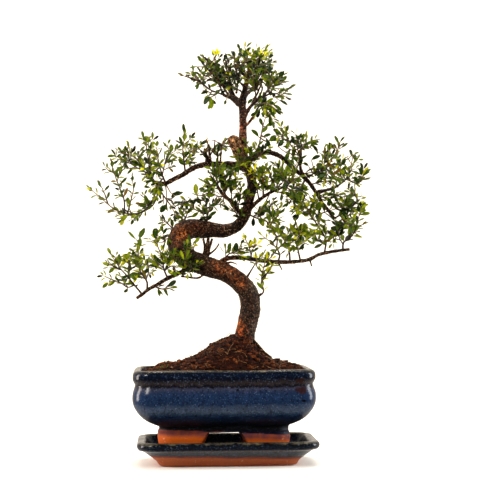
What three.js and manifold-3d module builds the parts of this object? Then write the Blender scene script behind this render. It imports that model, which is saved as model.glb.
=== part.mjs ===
// Syzygium bonsai with an S-shaped trunk, in a blue glazed pot on its drip tray.
// Millimetres, +Z up. The origin is the centre of the tray's underside, -Y is the front.
import * as THREE from "three";
import { mergeVertices } from "three/addons/utils/BufferGeometryUtils.js";
import Module from "manifold-3d";

const wasm = await Module();
wasm.setup();

// Driving dimensions
const seatGap = 0.3; // clearance between pieces that rest on one another
const trayWidth = 200;
const trayDepth = 150;
const trayHeight = 27.5;
const trayFloor = 10; // top of the tray's floor
const potWidth = 200;
const potDepth = 150;
const potShift = -4; // the pot stands a little left of the tray's middle
const potTop = 106;
const potBase = 37; // underside of the pot's body, above its feet
const potFloor = 45;
const drainRadius = 9;
const soilEdge = 101; // soil level along the pot's wall
const leafLength = 12;
const leafWidth = 5.2;
const leafThickness = 1;
const pairSpacing = 15; // distance between leaf pairs along a stem
const stemStart = 1.1; // stem radius where it leaves the wood
const stemEnd = 0.55;
const leafClearance = 0.4;

// Materials
function paint(color, roughness) {
  return new THREE.MeshStandardMaterial({ color, roughness, metalness: 0 });
}

function blueGlaze() {
  return paint("#22335c", 0.2);
}

function darkGlaze() {
  return paint("#2e3038", 0.22);
}

function peat() {
  return paint("#3a2018", 0.95);
}

function bark() {
  return paint("#54443a", 0.85);
}

function leafGreen(shade) {
  const colour = new THREE.Color("#3f6420").lerp(new THREE.Color("#8da02c"), shade);
  return new THREE.MeshStandardMaterial({ color: colour, roughness: 0.45, metalness: 0 });
}

// Solids
function solidOf(geometry) {
  const bare = geometry.clone();
  bare.deleteAttribute("normal");
  bare.deleteAttribute("uv");
  const welded = mergeVertices(bare, 1e-4);
  return new wasm.Manifold(
    new wasm.Mesh({
      numProp: 3,
      vertProperties: new Float32Array(welded.attributes.position.array),
      triVerts: new Uint32Array(welded.index.array),
    }),
  );
}

function geometryOf(solid) {
  const mesh = solid.getMesh();
  const geometry = new THREE.BufferGeometry();
  geometry.setAttribute("position", new THREE.BufferAttribute(mesh.vertProperties, 3));
  geometry.setIndex(new THREE.BufferAttribute(mesh.triVerts, 1));
  geometry.computeVertexNormals();
  return geometry;
}

function largestBody(solid) {
  const bodies = solid.decompose();
  bodies.sort((a, b) => b.volume() - a.volume());
  return bodies[0];
}

function union(solids) {
  let whole = solids[0];
  for (const solid of solids.slice(1)) {
    whole = whole.add(solid);
  }
  return whole;
}

// Closed skin over a row of rings with the same number of points, with a fan at both ends
function skin(rings, firstCentre, lastCentre) {
  const count = rings[0].length;
  const points = rings.flat();
  points.push(firstCentre, lastCentre);
  const faces = [];
  for (let r = 0; r + 1 < rings.length; r += 1) {
    for (let i = 0; i < count; i += 1) {
      const next = (i + 1) % count;
      const a = r * count + i;
      const b = r * count + next;
      faces.push(a, b, b + count, a, b + count, a + count);
    }
  }
  const first = points.length - 2;
  const last = points.length - 1;
  const top = (rings.length - 1) * count;
  for (let i = 0; i < count; i += 1) {
    const next = (i + 1) % count;
    faces.push(first, next, i);
    faces.push(last, top + i, top + next);
  }
  const geometry = new THREE.BufferGeometry().setFromPoints(points);
  geometry.setIndex(faces);
  return geometry;
}

// Rounded rectangle in plan, counterclockwise, at height z
function roundedRing(halfX, halfY, corner, z, shiftX = 0, cornerSteps = 4, sideSteps = 1) {
  const centres = [
    [halfX - corner, halfY - corner, 0],
    [corner - halfX, halfY - corner, 1],
    [corner - halfX, corner - halfY, 2],
    [halfX - corner, corner - halfY, 3],
  ];
  const ring = [];
  for (const [x, y, quarter] of centres) {
    for (let i = 0; i <= cornerSteps; i += 1) {
      const angle = (quarter + i / cornerSteps) * (Math.PI / 2);
      const px = x + corner * Math.cos(angle);
      const py = y + corner * Math.sin(angle);
      ring.push(new THREE.Vector3(px + shiftX, py, z));
    }
    const [nx, ny, nextQuarter] = centres[(quarter + 1) % 4];
    const end = ring[ring.length - 1];
    const angle = (nextQuarter * Math.PI) / 2;
    const target = new THREE.Vector3(
      nx + corner * Math.cos(angle) + shiftX,
      ny + corner * Math.sin(angle),
      z,
    );
    for (let i = 1; i < sideSteps; i += 1) {
      ring.push(end.clone().lerp(target, i / sideSteps));
    }
  }
  return ring;
}

// Tray: outer profile from the foot up over the lip and down the inside, as half widths and heights
function dripTray() {
  const inset = (trayWidth - trayDepth) / 2;
  const half = trayWidth / 2;
  const outer = [
    [half - 27.2, 0, 13],
    [half - 24.4, 1.2, 14],
    [half - 22.8, 3.6, 15],
    [half - 21, 6.2, 16],
    [half - 13.4, 12.5, 18],
    [half - 6, 17.8, 21],
    [half - 2.2, 19, 22],
    [half - 0.4, 21.4, 22],
    [half, 24.2, 22],
    [half - 0.9, 26.3, 22],
    [half - 3.5, trayHeight - 0.2, 21],
    [half - 7, trayHeight, 19],
    [half - 8.8, trayHeight - 0.9, 18],
    [half - 15.5, trayFloor + 2.4, 15],
    [half - 18.5, trayFloor, 13],
  ];
  const rings = outer.map(([x, z, corner]) => roundedRing(x, x - inset, corner, z));
  const body = skin(rings, new THREE.Vector3(0, 0, 0), new THREE.Vector3(0, 0, trayFloor));
  return solidOf(body);
}

// Pot wall: half widths, heights and corner radii from the base up over the rim
function potOuter() {
  return [
    [71.5, potBase, 17],
    [72, 43.2, 17],
    [76, 45.2, 18],
    [81.8, 48, 19],
    [88.2, 52.2, 20],
    [93.8, 57.6, 22],
    [98.2, 64.2, 23],
    [100.2, 69.6, 24],
    [100.8, 75, 24],
    [100.2, 81, 24],
    [98.3, 87, 23],
    [97.4, 90, 22],
    [98.6, 92.6, 22],
    [99.9, 95.6, 22],
    [potWidth / 2, 99.4, 22],
    [99.6, 102.2, 22],
    [98.2, 104.3, 22],
    [95.4, 105.6, 20],
    [92.6, potTop, 18],
    [91.2, potTop - 1, 17],
  ];
}

function potInner(gap) {
  return [
    [90.4 - gap, 100, 17],
    [90.4 - gap, 90, 17],
    [92 - gap, 76, 18],
    [88 - gap, 62, 17],
    [78 - gap, 52, 15],
    [68 - gap, potFloor + 1, 13],
    [66 - gap, potFloor + gap, 12],
  ];
}

function potRing([x, z, corner], cornerSteps = 4, sideSteps = 1) {
  const inset = (potWidth - potDepth) / 2;
  return roundedRing(x, x - inset, corner, z, potShift, cornerSteps, sideSteps);
}

// One cloud-foot apron round the base, open in the middle of each side
function potFeet() {
  const low = trayFloor + seatGap;
  const outer = [
    [68, low, 15],
    [70, low + 1.5, 16],
    [73.3, potBase - 6, 17],
    [73.3, potBase - 2, 17],
    [71.4, potBase + 1, 17],
  ];
  const inner = [
    [60, low - 1, 12],
    [62, potBase + 2, 13],
  ];
  const middle = (z) => new THREE.Vector3(potShift, 0, z);
  const shell = solidOf(skin(outer.map((ring) => potRing(ring)), middle(low), middle(potBase + 1)));
  const hollow = solidOf(skin(inner.map((ring) => potRing(ring)), middle(low - 1), middle(potBase + 2)));
  const plain = shell.subtract(hollow);
  return plain.subtract(footNotch(18.4, false)).subtract(footNotch(12, true));
}

// Wedge that widens downwards: the slanted gap between two feet
function footNotch(halfTop, alongX) {
  const low = trayFloor - 1;
  const spread = (potBase - low) * 0.62;
  const outline = new THREE.Shape();
  outline.moveTo(-halfTop - spread, low);
  outline.lineTo(halfTop + spread, low);
  outline.lineTo(halfTop + 2, potBase - 3);
  outline.quadraticCurveTo(halfTop, potBase, halfTop - 3, potBase);
  outline.lineTo(3 - halfTop, potBase);
  outline.quadraticCurveTo(-halfTop, potBase, -halfTop - 2, potBase - 3);
  outline.closePath();
  const reach = 2 * potWidth;
  const bar = new THREE.ExtrudeGeometry(outline, { depth: reach, bevelEnabled: false, curveSegments: 3 });
  bar.translate(0, 0, -reach / 2);
  bar.rotateX(Math.PI / 2);
  if (alongX) {
    bar.rotateZ(Math.PI / 2);
  }
  bar.translate(potShift, 0, 0);
  return solidOf(bar);
}

function drainHole(x) {
  const drill = new THREE.CylinderGeometry(drainRadius, drainRadius, 30, 20);
  drill.rotateX(Math.PI / 2);
  drill.translate(potShift + x, 0, potFloor - 4);
  return solidOf(drill);
}

function pot() {
  const rings = [...potOuter(), ...potInner(0)].map((ring) => potRing(ring));
  const under = new THREE.Vector3(potShift, 0, potBase);
  const floor = new THREE.Vector3(potShift, 0, potFloor);
  const bowl = solidOf(skin(rings, under, floor));
  return bowl.add(potFeet()).subtract(drainHole(-34)).subtract(drainHole(34));
}

// Height of the root mound over its edge, from left to right across the pot
const moundCrest = [
  [-90, 2],
  [-75, 9],
  [-58, 13],
  [-38, 17],
  [-23, 26],
  [-8, 35],
  [7, 41],
  [22, 40],
  [33, 27],
  [43, 19],
  [54, 12],
  [70, 9],
  [88, 3],
];

function crestAt(x) {
  let before = moundCrest[0];
  for (const after of moundCrest.slice(1)) {
    if (x <= after[0]) {
      const share = Math.max(0, (x - before[0]) / (after[0] - before[0]));
      return before[1] + (after[1] - before[1]) * share;
    }
    before = after;
  }
  return before[1];
}

function soilHeight(x, y) {
  const across = Math.max(0, 1 - (y / 66) ** 2);
  const crumbs = 0.7 * Math.sin(x * 0.31 + y * 0.17) + 0.6 * Math.sin(x * 0.13 - y * 0.37);
  return soilEdge + crestAt(x) * across ** 0.8 + crumbs * across;
}

function soil(carve) {
  const wallRings = potInner(seatGap).slice(1).reverse();
  const rings = wallRings.map((ring) => potRing(ring, 4, 3));
  const edge = potRing([90.4 - seatGap, soilEdge, 17], 4, 3);
  rings.push(edge);
  for (const share of [0.92, 0.81, 0.68, 0.54, 0.4, 0.26, 0.13]) {
    rings.push(
      edge.map((point) => {
        const x = potShift + (point.x - potShift) * share + 14 * (1 - share);
        const y = point.y * share;
        return new THREE.Vector3(x, y, soilHeight(x, y));
      }),
    );
  }
  const bottom = new THREE.Vector3(potShift, 0, potFloor + seatGap);
  const top = new THREE.Vector3(potShift + 14, 0, soilHeight(potShift + 14, 0));
  return largestBody(solidOf(skin(rings, bottom, top)).subtract(carve));
}

// Wood: centrelines from the root upwards, and the radius at each end of a limb
const trunkLine = [
  [19, 3, 119], [21, 2, 139], [25, 0, 159], [28, 0, 173], [27, 0, 183], [23, -2, 193],
  [16, -4, 201], [6, -6, 209], [-6, -8, 215], [-21, -9, 220], [-34, -8, 225], [-46, -5, 231],
  [-51, -1, 240], [-53, 4, 249], [-47, 8, 258], [-39, 10, 262], [-27, 10, 262], [-13, 9, 261],
  [-1, 7, 260], [11, 5, 263], [18, 3, 269], [23, 1, 278], [26, 0, 290], [29, 0, 301],
  [31, 0, 312], [29, 0, 322], [25, 0, 332], [22, 1, 342], [21, 1, 355], [21, 0, 368],
  [21, 0, 382], [21, 0, 393], [20, 0, 403],
];

const limbs = [
  {
    name: "leader_top",
    radius: [3.4, 2.2],
    line: [[20, 0, 402], [22, -1, 412], [25, -2, 424], [28, -2, 436], [30, -3, 447]],
  },
  {
    name: "knob",
    radius: [5.5, 8.2],
    line: [[20, -2, 336], [16, -6, 345], [12, -8, 354], [9, -8, 360]],
  },
  {
    name: "left_branch",
    radius: [3.6, 2.4],
    line: [
      [23, 0, 331], [8, -2, 334], [-4, -5, 334], [-18, -7, 334], [-29, -10, 332],
      [-38, -12, 328], [-47, -15, 322], [-57, -17, 317], [-67, -20, 312], [-76, -22, 311],
    ],
  },
  {
    name: "crown_left_limb",
    radius: [2.6, 1.6],
    line: [[19, 0, 402], [15, 5, 404], [8, 11, 410], [0, 16, 414]],
  },
  {
    name: "crown_inner_limb",
    radius: [2.8, 1.6],
    line: [[19, 0, 403], [14, 9, 409], [8, 19, 418], [4, 28, 428]],
  },
  {
    name: "crown_right_limb",
    radius: [2.2, 1.4],
    line: [[22, 0, 388], [25, -5, 392], [30, -10, 399], [36, -15, 404], [43, -20, 408]],
  },
  {
    name: "crown_back_limb",
    radius: [2.2, 1.4],
    line: [[22, 0, 410], [29, 8, 417], [36, 16, 424], [39, 24, 434]],
  },
  {
    name: "crown_low_twig",
    radius: [1.7, 1.2],
    line: [[21, 0, 376], [27, -7, 380], [33, -13, 388], [36, -20, 394]],
  },
  {
    name: "middle_left",
    radius: [2.6, 1.6],
    line: [[21, 0, 278], [12, -8, 284], [5, -17, 293], [-3, -26, 299], [-9, -34, 308]],
  },
  {
    name: "right_upper",
    radius: [3, 1.8],
    line: [
      [24, 0, 336], [36, 4, 344], [50, 8, 348], [63, 11, 344], [72, 15, 337], [82, 19, 328],
      [92, 23, 320], [100, 27, 311], [107, 31, 301], [113, 34, 291], [121, 38, 282],
      [127, 42, 274],
    ],
  },
  {
    name: "right_upper_outer",
    radius: [1.9, 1.5],
    line: [[108, 30, 304], [116, 35, 306], [123, 39, 308], [132, 44, 312]],
  },
  {
    name: "right_upper_stem",
    radius: [1.8, 1.5],
    line: [[90, 22, 322], [87, 19, 331], [87, 15, 342], [87, 12, 351]],
  },
  {
    name: "right_mid",
    radius: [2.4, 1.5],
    line: [[26, 0, 283], [34, -6, 290], [46, -12, 299], [54, -18, 303], [60, -24, 305]],
  },
  {
    name: "right_low",
    radius: [2.8, 1.7],
    line: [
      [-10, -8, 219], [-1, -6, 227], [6, -4, 229], [19, -2, 229], [32, 0, 227], [47, 2, 225],
      [60, 4, 224], [73, 6, 224], [86, 8, 225], [96, 10, 227], [106, 12, 232], [114, 14, 234],
      [125, 16, 236], [133, 18, 237], [142, 20, 238],
    ],
  },
  {
    name: "left_low",
    radius: [2.8, 1.7],
    line: [
      [-38, 4, 223], [-47, 0, 215], [-55, -4, 211], [-66, -8, 206], [-76, -12, 200],
      [-87, -16, 194], [-93, -20, 189], [-99, -24, 185],
    ],
  },
  {
    name: "dead_stub",
    radius: [1.7, 1.3],
    line: [[-20, -4, 224], [-21, 0, 234], [-22, 4, 243]],
  },
  {
    name: "root_right",
    radius: [3.4, 1.5],
    line: [[25, 0, 145], [32, -3, 139], [37, -5, 133], [42, -7, 125], [50, -8, 115], [55, -8, 110]],
  },
  {
    name: "root_left",
    radius: [6, 2],
    line: [[19, -2, 144], [12, -5, 140], [3, -8, 134], [-6, -10, 126]],
  },
  {
    name: "root_front",
    radius: [5, 2],
    line: [[23, -4, 141], [24, -12, 133], [23, -20, 124]],
  },
];

// Leafy shoots: each starts on the wood, and its side stems start on its own first stem
const shoots = {
  crown_left_spray: [
    [
      [-2, 17, 415], [-7, 18, 417], [-14, 20, 420], [-20, 22, 424], [-25, 23, 429],
      [-35, 24, 434], [-44, 26, 437],
    ],
    [[-14, 16, 420], [-17, 14, 413]],
    [[-23, 23, 427], [-22, 34, 440], [-17, 44, 450]],
    [[-18, 21, 422], [-27, 10, 430], [-34, 0, 438]],
  ],
  crown_inner_spray: [
    [[3, 29, 429], [-1, 33, 441], [-7, 36, 451], [-10, 40, 461]],
    [[-1, 33, 441], [-10, 44, 450], [-21, 54, 462]],
    [[2, 30, 432], [4, 22, 445], [2, 14, 459]],
  ],
  crown_front_spray: [
    [[23, -1, 420], [16, -12, 428], [12, -23, 440], [10, -34, 452]],
    [[16, -13, 427], [6, -28, 430], [-3, -42, 429]],
    [[12, -22, 438], [21, -35, 443], [24, -48, 451]],
  ],
  crown_top_spray: [
    [[31, -3, 449], [33, -6, 456], [36, -8, 462]],
    [[32, -4, 452], [40, 1, 457], [47, 6, 464]],
  ],
  crown_back_spray: [
    [[39, 25, 436], [42, 34, 446], [43, 44, 456]],
    [[41, 31, 442], [50, 42, 449], [57, 52, 456]],
    [[40, 28, 440], [51, 24, 436], [58, 20, 435]],
    [[40, 28, 440], [33, 43, 445], [28, 58, 454]],
  ],
  crown_right_spray: [
    [[45, -21, 408], [51, -26, 412], [55, -31, 421], [62, -36, 429]],
    [[51, -26, 412], [59, -38, 409], [66, -50, 405]],
    [[54, -31, 417], [48, -24, 428], [45, -16, 438]],
  ],
  crown_low_spray: [
    [[37, -21, 395], [40, -29, 399], [46, -38, 399], [53, -46, 394]],
    [[40, -29, 399], [43, -32, 390], [50, -34, 388]],
  ],
  rising_shoot: [
    [[32, -2, 341], [37, -6, 350], [40, -11, 362], [43, -16, 377], [47, -20, 389]],
  ],
  knot_spray: [
    [[30, -6, 330], [28, -11, 338], [27, -17, 347], [25, -22, 354]],
    [[29, -10, 337], [35, -20, 342], [41, -30, 341]],
    [[27, -14, 342], [20, -24, 337], [14, -34, 330]],
  ],
  yellow_shoot: [
    [[34, -5, 315], [34, -12, 320], [32, -20, 326]],
  ],
  left_tip_spray: [
    [
      [-78, -22, 313], [-83, -17, 320], [-90, -11, 326], [-99, -6, 331], [-106, -1, 336],
      [-113, 5, 338], [-121, 10, 342],
    ],
    [[-105, -1, 335], [-108, -8, 342], [-111, -14, 348]],
    [[-84, -18, 321], [-90, -11, 331], [-97, -3, 339], [-103, 4, 347]],
    [[-83, -18, 321], [-85, -25, 336], [-87, -31, 349], [-87, -38, 357]],
  ],
  left_lower_spray: [
    [
      [-77, -22, 308], [-78, -26, 304], [-80, -29, 295], [-86, -33, 286], [-92, -37, 280],
      [-101, -40, 277], [-109, -44, 278], [-117, -47, 280], [-126, -51, 285], [-134, -55, 292],
      [-141, -58, 298], [-147, -62, 303],
    ],
    [[-108, -47, 278], [-106, -42, 287], [-104, -36, 296], [-102, -31, 305], [-103, -26, 315]],
    [
      [-110, -47, 279], [-112, -52, 293], [-116, -58, 304], [-119, -63, 312], [-122, -69, 321],
      [-124, -74, 330],
    ],
    [[-128, -56, 287], [-133, -48, 299], [-137, -40, 308]],
    [[-106, -46, 278], [-110, -48, 274], [-114, -50, 272]],
    [[-86, -30, 286], [-89, -32, 294], [-90, -34, 298]],
  ],
  left_cluster_spray: [
    [[-67, -19, 315], [-71, -27, 324], [-74, -36, 336], [-76, -44, 351]],
    [[-70, -26, 321], [-67, -15, 335], [-63, -5, 348], [-64, 6, 357]],
    [[-72, -33, 329], [-79, -44, 324], [-84, -54, 325]],
    [[-69, -23, 318], [-74, -34, 311], [-75, -46, 304]],
  ],
  left_hanging_spray: [
    [[-74, -23, 307], [-72, -18, 304], [-66, -12, 295], [-59, -7, 285], [-56, -2, 278]],
    [[-68, -17, 299], [-69, -26, 289]],
    [[-66, -13, 295], [-60, 0, 296], [-54, 14, 301]],
  ],
  left_top_spray_a: [
    [[-45, -14, 326], [-46, -21, 338], [-47, -27, 350], [-45, -34, 363]],
    [[-46, -19, 335], [-40, -4, 344], [-36, 12, 353]],
  ],
  left_top_spray_b: [
    [[-21, -9, 337], [-20, 0, 348], [-18, 8, 361]],
    [[-20, -4, 344], [-27, -17, 349], [-35, -30, 351]],
  ],
  left_top_spray_c: [
    [[-8, -6, 337], [-7, 3, 352], [-3, 13, 357], [2, 22, 361]],
  ],
  middle_left_spray: [
    [[-10, -35, 310], [-14, -40, 316], [-18, -44, 321]],
    [[-12, -38, 312], [-8, -47, 321], [-7, -56, 328]],
    [[-11, -36, 311], [-1, -27, 317], [5, -18, 326]],
    [[-11, -36, 311], [-18, -45, 309], [-24, -54, 311]],
  ],
  arc_spray: [
    [[-19, 9, 275], [-20, 10, 285], [-22, 12, 293], [-30, 13, 297], [-31, 14, 305]],
    [[-21, 11, 289], [-16, 22, 300], [-15, 34, 310]],
    [[-20, 10, 285], [-11, 18, 290], [-3, 26, 290]],
    [[-27, 13, 296], [-39, 8, 294], [-50, 2, 291]],
  ],
  arc_left_spray: [
    [[-46, 8, 270], [-49, 19, 276], [-56, 30, 280]],
    [[-46, 12, 272], [-42, 19, 280], [-38, 26, 288]],
  ],
  loop_outer_spray: [
    [[-58, 2, 259], [-63, 12, 267], [-70, 22, 273]],
    [[-60, 7, 262], [-62, -2, 254], [-67, -12, 249]],
  ],
  loop_front_spray: [
    [[-47, -13, 223], [-45, -20, 230], [-43, -27, 238], [-41, -34, 246]],
    [[-46, -15, 226], [-40, -26, 221], [-36, -38, 216]],
    [[-46, -17, 228], [-53, -24, 229], [-60, -32, 227]],
  ],
  left_low_outer_spray: [
    [[-94, -21, 192], [-103, -26, 201], [-111, -30, 211], [-118, -35, 219], [-126, -40, 232]],
    [[-108, -30, 207], [-107, -41, 218], [-108, -52, 228]],
    [[-101, -25, 199], [-109, -21, 197], [-117, -18, 202], [-127, -14, 206], [-136, -10, 210]],
    [[-115, -33, 216], [-124, -44, 220], [-130, -54, 223]],
  ],
  left_low_middle_spray: [
    [
      [-88, -19, 195], [-88, -14, 203], [-95, -8, 214], [-98, -3, 225], [-97, 3, 240],
      [-96, 8, 252],
    ],
    [[-90, -14, 206], [-86, 2, 215], [-87, 18, 226]],
    [[-98, -4, 230], [-105, -14, 232], [-111, -24, 230]],
  ],
  left_low_inner_spray: [
    [[-66, -7, 209], [-69, -14, 217], [-71, -20, 230], [-76, -27, 244], [-76, -34, 255]],
    [[-70, -17, 223], [-64, -4, 234], [-61, 8, 244]],
    [[-68, -12, 215], [-61, -23, 220], [-55, -34, 220]],
    [[-69, -14, 218], [-78, -1, 226], [-84, 12, 232]],
  ],
  left_low_sprig: [
    [[-79, -15, 196], [-73, -20, 195], [-68, -25, 195], [-62, -30, 196]],
  ],
  right_low_inner_spray: [
    [[60, 4, 226], [61, -4, 232], [57, -13, 239], [51, -22, 245], [41, -30, 252]],
    [[56, -12, 240], [57, -21, 251], [51, -31, 260], [46, -40, 268]],
    [[57, -10, 239], [65, -16, 245], [68, -22, 253]],
  ],
  right_low_middle_spray: [
    [[74, 7, 226], [73, 14, 237], [72, 22, 244], [75, 29, 254], [80, 36, 263]],
    [[72, 20, 245], [82, 11, 251], [86, 2, 260]],
    [[72, 16, 241], [66, 30, 254], [61, 44, 267]],
  ],
  right_low_rising_spray: [
    [[84, 10, 228], [83, 18, 239], [82, 25, 245], [87, 32, 254], [93, 40, 262]],
    [[83, 22, 242], [91, 37, 247], [99, 52, 254]],
  ],
  right_low_outer_spray: [
    [
      [112, 12, 237], [114, 7, 249], [105, 2, 264], [97, -4, 276], [91, -9, 286],
      [86, -14, 295],
    ],
    [[113, 6, 242], [104, -8, 248], [99, -22, 256]],
    [[97, -4, 277], [87, -19, 280], [78, -34, 285]],
    [[93, -7, 282], [102, 4, 287], [106, 14, 295]],
  ],
  right_low_tip_spray: [
    [
      [133, 18, 240], [135, 13, 246], [141, 8, 250], [147, 2, 259], [150, -3, 272],
      [153, -8, 283],
    ],
    [[134, 14, 244], [131, 27, 253], [134, 40, 264]],
    [[141, 8, 250], [140, -9, 261], [134, -26, 269]],
  ],
  right_upper_spray_a: [
    [
      [94, 25, 322], [103, 21, 325], [111, 17, 328], [119, 14, 335], [124, 10, 343],
      [129, 6, 353],
    ],
    [[111, 18, 328], [113, -2, 338], [110, -22, 346]],
    [[117, 15, 332], [128, 26, 333], [137, 36, 340]],
    [[116, 16, 331], [120, 1, 322], [125, -14, 319]],
  ],
  right_upper_spray_b: [
    [[87, 12, 353], [87, 4, 359], [85, -4, 367]],
    [[87, 11, 356], [76, -1, 360], [66, -14, 364], [58, -26, 368]],
    [[87, 11, 355], [96, 22, 361], [103, 34, 368]],
    [[87, 11, 354], [78, 0, 350], [70, -12, 351]],
  ],
  right_upper_spray_c: [
    [[134, 45, 313], [140, 49, 318], [144, 52, 324], [148, 56, 335], [151, 60, 345]],
    [[139, 47, 316], [134, 38, 327], [134, 28, 334]],
    [[143, 50, 322], [151, 56, 316], [161, 62, 318], [164, 68, 329]],
  ],
  right_upper_spray_d: [
    [[129, 42, 276], [135, 37, 279], [145, 33, 286], [156, 28, 296]],
    [[134, 40, 278], [138, 31, 269], [144, 22, 266]],
    [[139, 38, 282], [139, 48, 292], [141, 58, 302]],
    [[147, 34, 288], [151, 21, 294], [147, 8, 305]],
  ],
  right_mid_spray_a: [
    [[62, -25, 306], [68, -31, 308], [74, -36, 315], [75, -42, 324]],
    [[67, -29, 308], [73, -22, 304], [82, -14, 303]],
    [[70, -33, 310], [63, -44, 316], [59, -54, 323]],
  ],
  right_mid_spray_b: [
    [[41, -12, 298], [43, -19, 307], [48, -25, 316], [51, -32, 324]],
    [[43, -18, 308], [52, -32, 310], [56, -46, 316]],
    [[47, -23, 314], [41, -10, 320], [39, 4, 328]],
  ],
  right_mid_spray_c: [
    [
      [29, -1, 277], [36, -7, 273], [44, -13, 270], [52, -18, 267], [57, -24, 274],
      [58, -30, 282],
    ],
    [[42, -11, 271], [37, -26, 278], [40, -40, 285]],
    [[48, -16, 269], [51, -9, 279], [49, -2, 287]],
  ],
  hanging_sprig: [
    [
      [40, -4, 183], [42, -7, 190], [41, -10, 198], [40, -12, 207], [42, -15, 217],
      [45, -18, 227],
    ],
    [[40, -12, 206], [48, -19, 214], [52, -26, 222]],
    [[41, -14, 213], [35, -9, 219], [35, -4, 228]],
  ],
};

// Repeatable scatter between 0 and 1
function scatter(seed) {
  const value = Math.sin(seed * 12.9898 + 4.137) * 43758.5453;
  return value - Math.floor(value);
}

function curveOf(line) {
  const points = line.map(([x, y, z]) => new THREE.Vector3(x, y, z));
  return new THREE.CatmullRomCurve3(points, false, "centripetal");
}

function mix(values, share) {
  const place = share * (values.length - 1);
  const index = Math.min(Math.floor(place), values.length - 2);
  return values[index] + (values[index + 1] - values[index]) * (place - index);
}

// Closed round limb along a curve; radii are spread evenly over its length
function limb(curve, radii, sides, steps, extra = 0, flute = 0) {
  const frames = curve.computeFrenetFrames(steps, false);
  const rings = [];
  for (let s = 0; s <= steps; s += 1) {
    const share = s / steps;
    const centre = curve.getPointAt(share);
    const radius = mix(radii, share) + extra;
    const ring = [];
    for (let i = 0; i < sides; i += 1) {
      const angle = (i / sides) * 2 * Math.PI;
      const ridge = Math.sin(3 * angle + share * 5) + 0.6 * Math.sin(5 * angle - share * 23);
      const swell = 1 + flute * (ridge + 0.8 * Math.sin(share * 61));
      const offset = frames.normals[s].clone().multiplyScalar(Math.cos(angle) * radius * swell);
      offset.addScaledVector(frames.binormals[s], Math.sin(angle) * radius * swell);
      ring.push(offset.add(centre));
    }
    rings.push(ring);
  }
  const tail = frames.tangents[0].clone().multiplyScalar(-0.35 * (radii[0] + extra));
  const nose = frames.tangents[steps].clone().multiplyScalar(0.35 * (radii[radii.length - 1] + extra));
  return solidOf(skin(rings, curve.getPointAt(0).add(tail), curve.getPointAt(1).add(nose)));
}

const trunkRadii = [
  8, 11.5, 10.8, 10.9, 11.2, 11.2, 10.8, 10.3, 10.4, 10.7, 11, 10.8, 10.5, 11, 11.4, 11, 10.2,
  8.6, 7.4, 6.2, 5.4, 5.2, 5.3, 5.4, 5.1, 4.4, 4, 3.9, 3.8, 3.7, 3.5,
];

function wood(extra) {
  const parts = [limb(curveOf(trunkLine), trunkRadii, 11, 38, extra, 0.035)];
  for (const { line, radius } of limbs) {
    const curve = curveOf(line);
    const steps = Math.max(2, Math.round(curve.getLength() / 16));
    parts.push(limb(curve, radius, 6, steps, extra));
  }
  return union(parts).simplify(0.05);
}

// Leaf blade: outline widest past the middle, flat below and ridged above
function leaf(base, along, across, length) {
  const half = ((leafWidth / leafLength) * length) / 2;
  const normal = new THREE.Vector3().crossVectors(along, across).normalize();
  const at = (forward, side, up) =>
    base
      .clone()
      .addScaledVector(along, forward * length)
      .addScaledVector(across, side * half)
      .addScaledVector(normal, up);
  const stalk = at(0, 0, 0);
  const right = at(0.55, -1, 0.1);
  const tip = at(1, 0, -0.7);
  const left = at(0.55, 1, 0.1);
  const ridge = at(0.5, 0, leafThickness);
  const geometry = new THREE.BufferGeometry().setFromPoints([stalk, right, tip, left, ridge]);
  geometry.setIndex([4, 0, 1, 4, 1, 2, 4, 2, 3, 4, 3, 0, 1, 0, 3, 1, 3, 2]);
  return solidOf(geometry);
}

function clearOf(solid, others, gap) {
  return others.every((other) => solid.minGap(other, gap + 0.1) >= gap);
}

// Opposite pairs along a stem, each pair turned a quarter from the one before, and one leaf at the tip
function leavesAlong(curve, seed, others) {
  const length = curve.getLength();
  const pairs = Math.max(1, Math.floor((length - 3) / pairSpacing));
  const grown = [];
  for (let pair = 0; pair < pairs; pair += 1) {
    const share = 1 - (pair * pairSpacing) / length;
    const centre = curve.getPointAt(share);
    const heading = curve.getTangentAt(share);
    const level = new THREE.Vector3(0, 0, 1).cross(heading);
    if (level.lengthSq() < 0.05) {
      level.set(1, 0, 0);
    }
    level.normalize();
    const turn = (pair % 2) * (Math.PI / 2) + scatter(seed + pair) * 0.9;
    for (const side of [0, Math.PI]) {
      const outward = level.clone().applyAxisAngle(heading, turn + side);
      const open = 0.75 + 0.45 * scatter(seed * 3 + pair * 7 + side);
      const along = heading.clone().multiplyScalar(Math.cos(open)).addScaledVector(outward, Math.sin(open));
      const across = new THREE.Vector3().crossVectors(heading, outward).normalize();
      const base = centre.clone().addScaledVector(along, -0.5);
      const size = leafLength * (0.72 + 0.42 * scatter(seed * 5 + pair * 3 + side));
      const blade = leaf(base, along, across, size);
      if (clearOf(blade, others, leafClearance)) {
        grown.push(blade);
      }
    }
  }
  return grown;
}

function nearestPoint(curves, point) {
  let best = point;
  let shortest = Infinity;
  for (const curve of curves) {
    for (const candidate of curve.getSpacedPoints(60)) {
      const distance = candidate.distanceTo(point);
      if (distance < shortest) {
        shortest = distance;
        best = candidate;
      }
    }
  }
  return best;
}

const woodCurves = [trunkLine, ...limbs.map((entry) => entry.line)].map(curveOf);

// Stems of one shoot, seated on the wood; extra makes them thicker
function stemsOf(lines, extra) {
  const curves = [];
  const stems = [];
  for (const line of lines) {
    const points = line.map(([x, y, z]) => new THREE.Vector3(x, y, z));
    points[0] = nearestPoint(curves.length ? curves : woodCurves, points[0]).clone();
    const curve = new THREE.CatmullRomCurve3(points, false, "centripetal");
    const first = curves.length ? 0.85 * stemStart : stemStart;
    const steps = Math.max(2, Math.round(curve.getLength() / 22));
    stems.push(limb(curve, [first, stemEnd], 4, steps, extra));
    curves.push(curve);
  }
  return { curves, solid: union(stems) };
}

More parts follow.
